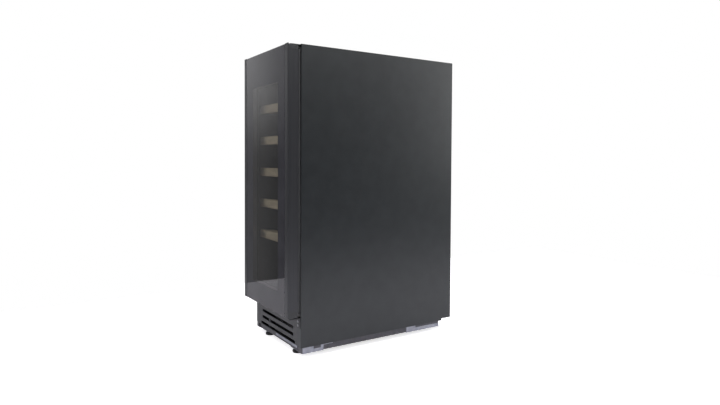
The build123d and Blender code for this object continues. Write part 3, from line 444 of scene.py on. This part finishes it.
for c in range(4):
    d = (c + 1) % 4
    for i in range(size):
        j = (i + 1) % size
        faces.append((c * size + i, c * size + j, d * size + j, d * size + i))
stile_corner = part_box("door_stile_right")[1]
dust_lip = [(12.0, 0.3), (2.5, 0.3), (1.5, 1.1), (1.1, 2.7), (1.1, 5.5), (1.5, 6.3), (2.9, 7.0),
            (12.0, 7.3)]
faces += prism_faces(len(points), len(dust_lip))
lip_short = 0.004
for z in (gasket_low.z + lip_short, gasket_high.z - lip_short):
    points += [(stile_corner.x - inward / 1000, stile_corner.y + behind / 1000, z)
               for inward, behind in dust_lip]
gasket_black = surface("gasket_black", (0.017, 0.0185, 0.021), (0.026, 0.0275, 0.030), (0.42, 0.55),
                       50, (1100, 0.00002))
gasket = add_mesh("gasket_bellows", points, faces, gasket_black)
soften(gasket, 0.0002)
place_piece(gasket, "door", "gasket_rubber", "door_gasket")

# ------------------------------------------------------------------ gap strip
# A soft black PVC strip, taken to be stuck along the cabinet's face on the hinge side.
# It stands just clear of the dust lip's swing and hides the joint when the door is shut.
strip_short = 0.002
strip_section = [(4.5, 0.0), (4.5, 1.1), (1.0, 1.3), (0.6, 0.9), (0.6, 0.0)]
points = [(stile_corner.x - inward / 1000, face_y - proud / 1000, z)
          for z in (gasket_low.z + strip_short, gasket_high.z - strip_short)
          for inward, proud in strip_section]
gap_strip = add_mesh("gap_strip", points, prism_faces(0, len(strip_section)), gasket_black,
                     smooth=False)
place_piece(gap_strip, "cabinet", "gasket_rubber")

# ------------------------------------------------------------------ hinges
# Black-painted 2.5 mm steel plates with fixed pins, screwed to the cabinet's top and face.
# The pins turn in white nylon bushes pressed into the door's caps.
hinge_black = surface("hinge_black", (0.018, 0.0185, 0.021), (0.026, 0.027, 0.030), (0.32, 0.42),
                      80, (1300, 0.000015), Metallic=0.2)
nylon = surface("nylon", (0.62, 0.62, 0.59), (0.70, 0.70, 0.67), (0.4, 0.5), 90, (900, 0.00002))
dress(["hinge_top_plate", "hinge_bottom_plate"], hinge_black, 0.0003)
dress(["hinge_bushes"], nylon)

# ------------------------------------------------------------------ hinge screws
# Zinc-nickel M4 screws with cross recesses: two countersunk in the top, two pan heads
# through the lower plate. Four heads and shanks in one piece.


def cross_head(centre, along, radius, rise, shank, length):
    """Points and faces of a screw: domed head with a cross recess, neck and shank."""
    turns, rings = 48, 14
    points, faces = [], []
    across = Vector((1, 0, 0))
    other = along.cross(across)
    slot_half, reach, deep = 0.15 * radius, 0.62 * radius, 0.5 * rise

    def at(r, turn, height):
        return centre + across * (r * math.cos(turn)) + other * (r * math.sin(turn)) + along * height

    for ring in range(1, rings + 1):
        r = radius * ring / rings
        for i in range(turns):
            turn = 2 * math.pi * i / turns
            a, b = abs(r * math.cos(turn)), abs(r * math.sin(turn))
            height = rise * (1 - 0.35 * (r / radius) ** 3)
            if max(a, b) < reach and min(a, b) < slot_half:
                height -= deep * (1 - max(a, b) / reach * 0.4)
            points.append(at(r, turn, height))
    for r, height in ((radius, 0.0), (shank, 0.0), (shank, -length), (0.3 * shank, -length - shank)):
        for i in range(turns):
            points.append(at(r, 2 * math.pi * i / turns, height))
    levels = rings + 4
    for level in range(levels - 1):
        for i in range(turns):
            j = (i + 1) % turns
            faces.append((level * turns + i, level * turns + j, (level + 1) * turns + j,
                          (level + 1) * turns + i))
    faces.append(tuple(range(turns))[::-1])
    faces.append(tuple((levels - 1) * turns + i for i in range(turns)))
    return points, faces


screw_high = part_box("hinge_screws")[1]
pin_low, pin_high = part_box("hinge_top_plate")
lower_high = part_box("hinge_bottom_plate")[1]
hinge_x = (pin_low.x + pin_high.x) / 2
plate_y = lower_high.y - 0.0025
cap_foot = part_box("door_bottom_cap")[0].z
points, faces = [], []
flat_head, pan_head = (0.0019, 0.0007, 0.0018, 0.003), (0.0036, 0.0015, 0.0019, 0.004)
screws = [(Vector((hinge_x, face_y + back, screw_high.z - 0.0008)), Vector((0, 0, 1)), *flat_head)
          for back in (0.012, 0.026)]
screws += [(Vector((hinge_x, plate_y, cap_foot - drop)), Vector((0, -1, 0)), *pan_head)
           for drop in (0.013, 0.024)]
for screw in screws:
    more_points, more_faces = cross_head(*screw)
    start = len(points)
    points += more_points
    faces += [tuple(start + v for v in face) for face in more_faces]
screw_zinc = surface("screw_zinc", (0.22, 0.22, 0.235), (0.33, 0.33, 0.35), (0.25, 0.4), 400,
                     (2500, 0.00001), Metallic=1.0)
screw_set = add_mesh("hinge_screw_set", points, faces, screw_zinc)
place_piece(screw_set, "cabinet", "screw_steel", "hinge_screws")

# ------------------------------------------------------------------ shelves
# Solid steamed beech, clear satin lacquer. Each front board is glued to a frame of two
# side rails and seven slats, hollowed to hold bottles, and runs in steel channels.


def build_wood(tree, fed):
    place = node(tree, "TexCoord").outputs["Object"]
    drift = node(tree, "TexNoise", {"Vector": place, "Scale": 9.0, "Detail": 2.0})
    bent = node(tree, "Mix", {0: 0.02, 6: place, 7: drift.outputs["Color"]}, data_type="RGBA")
    stretched = node(tree, "Mapping", {"Vector": bent.outputs[2], "Scale": fed["Stretch"]})
    rings = node(tree, "TexNoise", {"Vector": stretched.outputs["Vector"], "Scale": 1.0,
                                    "Detail": 5.0, "Roughness": 0.62})
    spread = node(tree, "MapRange", {"Value": rings.outputs["Fac"], "From Min": 0.3,
                                     "From Max": 0.7})
    blend = node(tree, "Mix", {0: spread.outputs["Result"], 6: fed["Dark"], 7: fed["Light"]},
                 data_type="RGBA")
    pores = node(tree, "Mapping", {"Vector": place, "Scale": fed["Pores"]})
    specks = node(tree, "TexVoronoi", {"Vector": pores.outputs["Vector"], "Scale": 1.0})
    pit = node(tree, "MapRange", {"Value": specks.outputs["Distance"], "From Min": 0.12,
                                  "From Max": 0.3, "To Min": 0.62, "To Max": 1.0})
    pitted = node(tree, "Mix", {0: 1.0, 6: blend.outputs[2], 7: pit.outputs["Result"]},
                  data_type="RGBA", blend_type="MULTIPLY")
    rough = node(tree, "MapRange", {"Value": spread.outputs["Result"], "To Min": 0.52,
                                    "To Max": 0.4})
    return {"Color": pitted.outputs[2], "Roughness": rough.outputs["Result"],
            "Height": pit.outputs["Result"]}


wood_grain = effect(
    "wood_grain",
    [("Dark", "Color"), ("Light", "Color"), ("Stretch", "Vector"), ("Pores", "Vector")],
    [("Color", "Color"), ("Roughness", "Float"), ("Height", "Float")], build_wood)


def wood(name, stretch, pores, dark, light):
    made, tree, shader = principled(name, Coat_Roughness=0.25)
    shader.inputs["Coat Weight"].default_value = 0.25
    grain = node(tree, "Group", {"Dark": (*dark, 1), "Light": (*light, 1), "Stretch": stretch,
                                 "Pores": pores}, node_tree=wood_grain)
    pits = node(tree, "Bump", {"Height": grain.outputs["Height"], "Distance": 0.00008})
    tree.links.new(grain.outputs["Color"], shader.inputs["Base Color"])
    tree.links.new(grain.outputs["Roughness"], shader.inputs["Roughness"])
    tree.links.new(pits.outputs["Normal"], shader.inputs["Normal"])
    return made


beech_board = wood("beech_board", (7, 150, 190), (160, 900, 1500), (0.42, 0.34, 0.215),
                   (0.66, 0.56, 0.385))
beech_slat = wood("beech_slat", (6, 170, 150), (150, 1300, 1300), (0.44, 0.35, 0.22),
                  (0.66, 0.55, 0.38))
dress([f"shelf_{n}_front" for n in range(1, 6)], beech_board, 0.0006)
dress([f"shelf_{n}_slats" for n in range(1, 6)], beech_slat, 0.0008)

# ------------------------------------------------------------------ shelf guides
# Roll-formed zinc-plated steel channels, 1.5 mm, riveted to the liner's side walls.
# The shelves' tongues slide in them.
guide_zinc = surface("guide_zinc", (0.34, 0.34, 0.36), (0.46, 0.46, 0.48), (0.3, 0.42), 120,
                     (900, 0.00001), Metallic=0.9)
dress(["shelf_guides"], guide_zinc, 0.0002)

# ------------------------------------------------------------------ cold air duct
# Moulded dark grey polystyrene cover, 2 mm, clipped to the liner's rear wall.
# It hides the evaporator and has a ring grille for the fan and slots for the return air.
duct_grey = surface("duct_grey", (0.040, 0.040, 0.044), (0.055, 0.055, 0.06), (0.45, 0.6), 20,
                    (1000, 0.00003))
dress(["duct_cover"], duct_grey, 0.0008)

# ------------------------------------------------------------------ evaporator and condenser
# Pressed aluminium fins on round tubes, mill finish, lightly oxidised.
# The condenser stands behind the grille, the evaporator hangs behind the duct cover.
fin_metal = surface("fin_metal", (0.46, 0.465, 0.48), (0.62, 0.625, 0.64), (0.28, 0.45), 90,
                    (500, 0.00003), Metallic=1.0)
dress(["evaporator", "condenser"], fin_metal)

# ------------------------------------------------------------------ refrigerant pipes
# Drawn copper tube, 6 mm, browned by air and brazing heat.
# It joins the compressor, condenser and evaporator in one sealed loop.
copper_tube = surface("copper_tube", (0.40, 0.17, 0.085), (0.66, 0.33, 0.19), (0.24, 0.42), 35,
                      (600, 0.00002), Metallic=1.0)
dress(["refrigerant_pipes"], copper_tube)

# ------------------------------------------------------------------ fans
# Seven twisted blades moulded in one with the hub, in a square housing of glass-filled
# nylon with a four-arm spider that holds the motor. One behind the duct, one at the condenser.
fan_black = surface("fan_black", (0.017, 0.017, 0.018), (0.027, 0.027, 0.028), (0.36, 0.5), 70,
                    (1200, 0.00002))
dress(["evaporator_fan_frame", "condenser_fan_frame"], fan_black, 0.0005)


def fan(name, replaced, body, blade_count=7, spans=9, chords=7):
    """A hub with a domed nose and twisted, cambered blades, on an axis along Y."""
    low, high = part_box(replaced)
    centre = Vector(((low.x + high.x) / 2, (low.y + high.y) / 2, (low.z + high.z) / 2))
    tip = (high.z - low.z) / 2 - 0.0003
    hub, shaft, nose, shaft_length = 0.011, 0.002, 0.0038, 0.007
    hub_front, hub_back = low.y, high.y - shaft_length
    points, faces = [], []
    rows = [(0.0005, hub_front + 0.0002), (0.006, hub_front + 0.0004), (0.0098, hub_front + 0.0016),
            (hub, hub_front + nose), (hub, hub_back), (shaft, hub_back), (shaft, high.y)]
    turns = 48
    for radius, y in rows:
        for i in range(turns):
            turn = 2 * math.pi * i / turns
            points.append((centre.x + radius * math.cos(turn), y,
                           centre.z + radius * math.sin(turn)))
    for level in range(len(rows) - 1):
        for i in range(turns):
            j = (i + 1) % turns
            faces.append((level * turns + i, level * turns + j, (level + 1) * turns + j,
                          (level + 1) * turns + i))
    faces.append(tuple(range(turns)))
    faces.append(tuple((len(rows) - 1) * turns + i for i in range(turns))[::-1])
    middle = (hub_front + nose + hub_back) / 2
    root, chord, bow, half_thick = hub - 0.001, 0.0115, 0.0016, 0.0006
    root_pitch, twist, flattened, sweep_back = 52, 26, 0.62, 0.25
    for blade in range(blade_count):
        start = len(points)
        for face in (-1, 1):
            for s in range(spans):
                along = s / (spans - 1)
                radius = root + (tip - root) * along
                pitch = math.radians(root_pitch - twist * along)
                for c in range(chords):
                    across = (c / (chords - 1) - 0.5) * chord * (1 + 0.5 * math.sin(2.6 * along))
                    off_middle = abs(2 * c / (chords - 1) - 1)
                    skin = bow * (1 - off_middle ** 2) + face * half_thick * (1 - 0.7 * off_middle)
                    round_axis = across * math.cos(pitch) + skin * math.sin(pitch)
                    y = middle + across * math.sin(pitch) * flattened - skin * math.cos(pitch)
                    turn = 2 * math.pi * blade / blade_count + round_axis / radius + sweep_back * along
                    points.append((centre.x + radius * math.cos(turn), y,
                                   centre.z + radius * math.sin(turn)))
        sheet = spans * chords
        for s in range(spans - 1):
            for c in range(chords - 1):
                a = start + s * chords + c
                faces.append((a, a + 1, a + chords + 1, a + chords))
                b = a + sheet
                faces.append((b, b + chords, b + chords + 1, b + 1))
        border = [s * chords for s in range(spans)]
        border += [(spans - 1) * chords + c for c in range(1, chords)]
        border += [s * chords + chords - 1 for s in range(spans - 2, -1, -1)]
        border += [c for c in range(chords - 2, 0, -1)]
        for i, a in enumerate(border):
            b = border[(i + 1) % len(border)]
            faces.append((start + a, start + b, start + sheet + b, start + sheet + a))
    made = add_mesh(name, points, faces, fan_black)
    place_piece(made, body, "fan_plastic", replaced)


fan("evaporator_fan_blades", "evaporator_fan_rotor", "evaporator_fan")
fan("condenser_fan_blades", "condenser_fan_rotor", "condenser_fan")

# ------------------------------------------------------------------ compressor
# Two deep-drawn steel half shells welded at the waist, black stove enamel, on a pressed
# base plate. A plastic cover shields the start relay on the side.


def lathe(rows, centre, turns=64, lean=None):
    """Points and faces turned round a vertical axis; rows are (radius, height) from the base."""
    points, faces = [], []
    for level, (radius, height) in enumerate(rows):
        for i in range(turns):
            turn = 2 * math.pi * i / turns
            reach = radius + (lean(turn, height) if lean else 0)
            points.append((centre[0] + reach * math.cos(turn), centre[1] + reach * math.sin(turn),
                           height))
    for level in range(len(rows) - 1):
        for i in range(turns):
            j = (i + 1) % turns
            faces.append((level * turns + i, level * turns + j, (level + 1) * turns + j,
                          (level + 1) * turns + i))
    faces.append(tuple(range(turns))[::-1])
    faces.append(tuple((len(rows) - 1) * turns + i for i in range(turns)))
    return points, faces


pot_low, pot_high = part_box("compressor")
pan_low, pan_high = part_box("drain_pan")
pot = ((pot_low.x + pot_high.x) / 2, (pan_low.y + pan_high.y) / 2)
base = pot_low.z + 0.003
radius = 0.0598
top = pot_high.z
rows = [(0.020, base + 0.0005), (0.040, base + 0.002), (0.050, base + 0.006), (0.0565, base + 0.014),
        (0.0592, base + 0.024), (radius, base + 0.034), (radius, base + 0.060),
        (0.0605, base + 0.0615), (0.0618, base + 0.0625), (0.0621, base + 0.064),
        (0.0618, base + 0.0655), (0.0604, base + 0.0668), (0.0590, base + 0.068),
        (0.0590, top - 0.036), (0.0578, top - 0.026), (0.0545, top - 0.017), (0.048, top - 0.0095),
        (0.038, top - 0.0045), (0.026, top - 0.0016), (0.012, top - 0.0003)]
points, faces = lathe(rows, pot, 96)
half_x, plate = (pot_high.x - pot_low.x) / 2, 0.0028
trim, plate_corner = 0.0003, 0.012
ring = rounded(half_x - trim, pot_low.y + trim - pot[1], pot_high.y - trim - pot[1], plate_corner, 8)
faces += prism_faces(len(points), len(ring))
for z in (pot_low.z + 0.0001, pot_low.z + plate):
    points += [(pot[0] + x, pot[1] + y, z) for x, y in ring]
enamel = surface("stove_enamel", (0.013, 0.013, 0.015), (0.020, 0.020, 0.022), (0.26, 0.4), 22,
                 (350, 0.00005))
compressor = add_mesh("compressor_shell", points, faces, enamel)
soften(compressor, 0.0002)
place_piece(compressor, "cabinet", "compressor_black", "compressor")

# ------------------------------------------------------------------ compressor mounts
# Moulded rubber grommets that carry the compressor's base plate on the tray.
mount_black = surface("mount_black", (0.018, 0.018, 0.018), (0.03, 0.03, 0.03), (0.6, 0.8), 60,
                      (600, 0.00004))
dress(["compressor_mounts"], mount_black, 0.0006)

# ------------------------------------------------------------------ drain pan and tube
# Natural grey polypropylene. The pan sits on the warm compressor and dries the defrost
# water that the tube brings down through the foam.
pan_grey = surface("pan_grey", (0.20, 0.20, 0.205), (0.27, 0.27, 0.275), (0.42, 0.55), 40,
                   (700, 0.00003))
dress(["drain_pan", "drain_tube"], pan_grey, 0.0005)

# ------------------------------------------------------------------ power board box and cord gland
# Light grey flame-retardant plastic box under the step, and a black gland in the rear
# cover that clamps the mains cord.
box_grey = surface("box_grey", (0.50, 0.50, 0.48), (0.60, 0.60, 0.58), (0.45, 0.6), 30,
                   (800, 0.00003))
dress(["power_board_box"], box_grey, 0.0008)
dress(["cord_gland"], moulded_black, 0.0006)

# ------------------------------------------------------------------ control panel and lamp
# Moulded black plastic housing screwed under the liner's ceiling. The lens is milky
# plastic over a row of white light-emitting diodes.
panel_black = surface("panel_black", (0.022, 0.022, 0.025), (0.032, 0.032, 0.036), (0.35, 0.48),
                      30, (1300, 0.00002))
lamp_white = surface("lamp_white", (0.72, 0.74, 0.78), (0.82, 0.84, 0.88), (0.35, 0.45), 30,
                     (500, 0.00001), Emission_Color=(0.85, 0.92, 1.0, 1), Emission_Strength=0.6)
dress(["control_panel"], panel_black, 0.0008)
dress(["light_lens"], lamp_white, 0.0006)

# ------------------------------------------------------------------ display
# Smoked acrylic window over a two-digit display; the lit segments show a set temperature
# in degrees. Snapped into the housing from behind.
lens_smoke = surface("lens_smoke", (0.006, 0.007, 0.010), (0.009, 0.010, 0.014), (0.06, 0.1), 30,
                     (200, 0.000002))
dress(["display_window"], lens_smoke, 0.0003)
lens_low, lens_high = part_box("display_window")
digit_y = lens_low.y - 0.00005
digit_z = (lens_low.z + lens_high.z) / 2
tall, wide, stroke = 0.0078, 0.0040, 0.0008
bars = {"a": (0, tall / 2, 1), "g": (0, 0, 1), "d": (0, -tall / 2, 1),
        "f": (-wide / 2, tall / 4, 0), "b": (wide / 2, tall / 4, 0),
        "e": (-wide / 2, -tall / 4, 0), "c": (wide / 2, -tall / 4, 0)}
points, faces = [], []


def add_bar(x, z, long_x, long_z):
    """A thin pointed bar, one lit segment, facing the door."""
    start = len(points)
    if long_x > long_z:
        nose = long_z / 2
        ring = [(-long_x / 2, 0), (-long_x / 2 + nose, -nose), (long_x / 2 - nose, -nose),
                (long_x / 2, 0), (long_x / 2 - nose, nose), (-long_x / 2 + nose, nose)]
    else:
        nose = long_x / 2
        ring = [(0, -long_z / 2), (nose, -long_z / 2 + nose), (nose, long_z / 2 - nose),
                (0, long_z / 2), (-nose, long_z / 2 - nose), (-nose, -long_z / 2 + nose)]
    for y in (digit_y, digit_y + 0.0002):
        points.extend((x + px, y, z + pz) for px, pz in ring)
    faces.append(tuple(start + i for i in range(6)))
    faces.append(tuple(start + 6 + i for i in range(6))[::-1])
    for i in range(6):
        j = (i + 1) % 6
        faces.append((start + i, start + 6 + i, start + 6 + j, start + j))


for digit_x, lit in ((-0.0475, "bc"), (-0.0405, "abged")):
    for name in lit:
        x, z, flat = bars[name]
        add_bar(digit_x + x, digit_z + z, wide - stroke if flat else stroke,
                stroke if flat else tall / 2 - stroke)
for name, (x, z, flat) in {"a": bars["a"], "d": bars["d"], "e": bars["e"], "f": bars["f"]}.items():
    add_bar(-0.0305 + x * 0.6, digit_z + z * 0.6, (wide - stroke) * 0.6 if flat else stroke * 0.8,
            stroke * 0.8 if flat else (tall / 2 - stroke) * 0.6)
segment_lit = surface("segment_lit", (0.30, 0.55, 0.75), (0.36, 0.62, 0.82), (0.4, 0.5), 200,
                      (500, 0.000001), Emission_Color=(0.45, 0.8, 1.0, 1), Emission_Strength=2.0)
digits = add_mesh("display_digits", points, faces, segment_lit, smooth=False)
place_piece(digits, "cabinet", "display_lens")

# ------------------------------------------------------------------ buttons
# Grey plastic caps, 9 mm, over dome switches on the display's board.
# Each has a small moulded mark: power, up and down.
button_grey = surface("button_grey", (0.085, 0.085, 0.092), (0.115, 0.115, 0.125), (0.3, 0.4), 120,
                      (1400, 0.00001))
dress(["button_power", "button_up", "button_down"], button_grey)


def button_mark(name, outlines):
    """A mark of flat closed outlines, 0.1 mm proud of the button's face."""
    low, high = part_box(name)
    cx, cz = (low.x + high.x) / 2, (low.z + high.z) / 2
    points, faces = [], []
    for ring in outlines:
        start, size = len(points), len(ring)
        for y in (low.y - 0.0001, low.y + 0.0003):
            points += [(cx + x / 1000, y, cz + z / 1000) for x, z in ring]
        faces.append(tuple(start + i for i in range(size)))
        faces.append(tuple(start + size + i for i in range(size))[::-1])
        faces += [(start + i, start + size + i, start + size + (i + 1) % size, start + (i + 1) % size)
                  for i in range(size)]
    mark = add_mesh(name + "_mark", points, faces, mark_white, smooth=False)
    place_piece(mark, name, "button_plastic")


mark_white = surface("mark_white", (0.55, 0.56, 0.58), (0.66, 0.67, 0.69), (0.4, 0.5), 200,
                     (900, 0.000002))
arc = [math.radians(125 + 290 * i / 14) for i in range(15)]
arrow = [(-1.8, -1.0), (1.8, -1.0), (0, 1.7)]
button_mark("button_power", [
    [(2.1 * math.cos(t), 2.1 * math.sin(t)) for t in arc]
    + [(1.6 * math.cos(t), 1.6 * math.sin(t)) for t in arc[::-1]],
    [(-0.25, 0.6), (0.25, 0.6), (0.25, 2.5), (-0.25, 2.5)]])
button_mark("button_up", [arrow])
button_mark("button_down", [[(-x, -z) for x, z in arrow]])

# ------------------------------------------------------------------ feet
# Moulded black nylon pads with a hexagon to turn them, on zinc-plated M10 stems.
# Each screws up into the nut of its bracket.
foot_black = surface("foot_black", (0.014, 0.014, 0.015), (0.022, 0.022, 0.023), (0.42, 0.6), 90,
                     (900, 0.00004))
stem_zinc = surface("stem_zinc", (0.38, 0.38, 0.42), (0.5, 0.5, 0.54), (0.28, 0.4), 200,
                    (1500, 0.00001), Metallic=1.0)
pad_rows = [(0.0110, 0.0), (0.0132, 0.0), (0.0138, 0.0006), (0.0143, 0.0014), (0.0143, 0.0024),
            (0.0139, 0.0028), (0.0139, 0.0034), (0.0144, 0.0038), (0.0144, 0.0052),
            (0.0136, 0.0066), (0.0118, 0.0077), (0.0100, 0.0081)]
hexagon_z, hexagon_reach = (0.0079, 0.0109), 0.0089
stem_radius, stem_base = 0.0049, 0.0104
pitch, deep = 0.0015, 0.00045


def knurl(turn, height):
    """Finger grooves round the pad's rim."""
    return -0.0004 * max(0.0, math.cos(turn * 24)) if 0.001 < height < 0.006 else 0.0


def thread(turn, height):
    """A triangular screw thread."""
    return -deep * abs(2 * ((height / pitch - turn / (2 * math.pi)) % 1.0) - 1)


for name in ("foot_front_left", "foot_front_right", "foot_rear_left", "foot_rear_right"):
    low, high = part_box(name)
    centre = ((low.x + high.x) / 2, (low.y + high.y) / 2)
    pad_points, pad_faces = lathe(pad_rows, centre, 96, knurl)
    pad_faces += prism_faces(len(pad_points), 6)
    for z in hexagon_z:
        for i in range(6):
            turn = math.radians(60 * i)
            pad_points.append((centre[0] + hexagon_reach * math.cos(turn),
                               centre[1] + hexagon_reach * math.sin(turn), z))
    pad = add_mesh(name + "_pad", pad_points, pad_faces, foot_black)
    soften(pad, 0.0003)
    place_piece(pad, name, "foot_plastic", name)
    stem_top = high.z - 0.0002
    levels = int((high.z - stem_base - 0.0001) / (pitch / 6))
    stem_rows = [(stem_radius, stem_base + (stem_top - stem_base) * i / levels)
                 for i in range(levels + 1)]
    stem_points, stem_faces = lathe(stem_rows, centre, 24, thread)
    stem = add_mesh(name + "_stem", stem_points, stem_faces, stem_zinc)
    place_piece(stem, name, "foot_plastic")

# ------------------------------------------------------------------ floor, light and camera
# A plain white floor, its colour darkened towards -X by painted shade, under soft studio light:
# a broad lamp overhead, two on the right, one in front that no surface mirrors, and a graded
# card on the door's side. None is part of the object.
floor_white, tree, shader = principled("floor_white", Roughness=0.65)
paper_and_shade = node(tree, "TexNoise", {"Vector": node(tree, "TexCoord").outputs["Object"], "Scale": 3.0})
tones = node(tree, "Mix", {0: paper_and_shade.outputs["Fac"], 6: (0.92, 0.90, 0.955, 1),
                           7: (0.94, 0.92, 0.975, 1)}, data_type="RGBA")
# Painted shade: the floor's colour falls from 1.0 to 0.6 towards -X, on the door's side.
sides = node(tree, "SeparateXYZ", {"Vector": node(tree, "TexCoord").outputs["Object"]})
shade = node(tree, "MapRange", {"Value": sides.outputs["X"], "From Min": -0.3, "From Max": 0.2,
                                "To Min": 0.6, "To Max": 1.0}, interpolation_type="SMOOTHSTEP")
paper_and_shade = node(tree, "Mix", {0: 1.0, 6: tones.outputs[2], 7: shade.outputs["Result"]},
             data_type="RGBA", blend_type="MULTIPLY")
tree.links.new(paper_and_shade.outputs[2], shader.inputs["Base Color"])
seen = node(tree, "LightPath").outputs["Is Camera Ray"]
lift = node(tree, "Math", {0: seen, 1: 0.72}, operation="MULTIPLY")
tree.links.new(lift.outputs[0], shader.inputs["Emission Strength"])
shader.inputs["Emission Color"].default_value = (1.0, 1.0, 1.0, 1)
floor = add_mesh("floor", [(-0.78, -1.6, 0), (1.2, -1.6, 0), (1.2, 1.8, 0), (-0.78, 1.8, 0)],
                 [(0, 1, 2, 3)], floor_white, smooth=False)

card_glow, tree, shader = principled("card_glow", Base_Color=(0, 0, 0, 1), Roughness=1.0)
split = node(tree, "SeparateXYZ", {"Vector": node(tree, "TexCoord").outputs["Object"]})
rise = node(tree, "MapRange", {"Value": split.outputs["Z"], "From Min": 0.45, "From Max": 1.25,
                               "To Min": 0.23, "To Max": 1.0}, interpolation_type="SMOOTHSTEP")
fall = node(tree, "MapRange", {"Value": split.outputs["Y"], "From Min": -1.38, "From Max": -1.04,
                               "To Min": 0.5, "To Max": 1.05}, interpolation_type="SMOOTHSTEP")
glow = node(tree, "Math", {0: rise.outputs["Result"], 1: fall.outputs["Result"]},
            operation="MULTIPLY")
tree.links.new(glow.outputs[0], shader.inputs["Emission Strength"])
shader.inputs["Emission Color"].default_value = (1.0, 1.0, 1.0, 1)
card = add_mesh("card", [(-2.1, -1.9, -1.4), (-2.1, 0.2, -1.4), (-2.1, 0.2, 2.4), (-2.1, -1.9, 2.4)],
                [(0, 1, 2, 3)], card_glow, smooth=False)
card.visible_camera = False


def lamp(name, at, towards, width, height, watts):
    data = bpy.data.lights.new(name, "AREA")
    data.shape = "RECTANGLE"
    data.size, data.size_y, data.energy = width, height, watts
    made = bpy.data.objects.new(name, data)
    made.visible_transmission = False
    made.location = at
    made.rotation_euler = (Vector(towards) - Vector(at)).to_track_quat("-Z", "Y").to_euler()
    bpy.context.scene.collection.objects.link(made)
    return made


lamp("overhead", (0.2, -0.2, 3.0), (0.2, -0.1, 0.0), 3.4, 3.4, 118)
lamp("rear_right", (1.7, 2.8, 1.3), (0.1, 0.1, 0.4), 1.0, 2.0, 42)
lamp("side_high", (2.7, 1.35, 2.15), (0.1, 0.1, 0.6), 2.2, 1.2, 17)
front = lamp("front", (-0.7, -3.0, 1.3), (0.0, -0.3, 0.4), 2.2, 1.8, 47)
front.visible_glossy = False

world = bpy.data.worlds.new("studio")
world.use_nodes = True
bpy.context.scene.world = world
tree = world.node_tree
tree.nodes.clear()
split = node(tree, "SeparateXYZ", {"Vector": node(tree, "TexCoord").outputs["Generated"]})
height = node(tree, "MapRange", {"Value": split.outputs["Z"], "From Min": -0.1, "From Max": 0.9,
                                 "To Min": 0.03, "To Max": 0.35})
soft = node(tree, "Background", {"Color": (1, 1, 1, 1), "Strength": height.outputs["Result"]})
plain = node(tree, "Background", {"Color": (1, 1, 1, 1), "Strength": 1.0})
path = node(tree, "LightPath").outputs
seen = node(tree, "Math", {0: path["Is Camera Ray"], 1: path["Is Transmission Ray"]},
            operation="MAXIMUM")
backdrop = node(tree, "MixShader", {0: seen.outputs[0], 1: soft.outputs[0], 2: plain.outputs[0]})
node(tree, "OutputWorld", {"Surface": backdrop.outputs[0]})
bpy.context.scene.view_settings.view_transform = "Standard"

camera_data = bpy.data.cameras.new("camera")
camera_data.lens = 27.54
camera_data.sensor_width = 36.0
camera_data.shift_x = 0.0129
camera_data.shift_y = -0.0374
camera_data.clip_start = 0.01
camera = bpy.data.objects.new("camera", camera_data)
camera.matrix_world = (
    Matrix.Translation((1.4275, -0.9051, 0.5254))
    @ Matrix.Rotation(math.radians(57.51), 4, "Z")
    @ Matrix.Rotation(math.radians(90 - 1.62), 4, "X")
    @ Matrix.Rotation(math.radians(0.24), 4, "Z"))
bpy.context.scene.collection.objects.link(camera)
bpy.context.scene.camera = camera

bpy.context.view_layer.update()
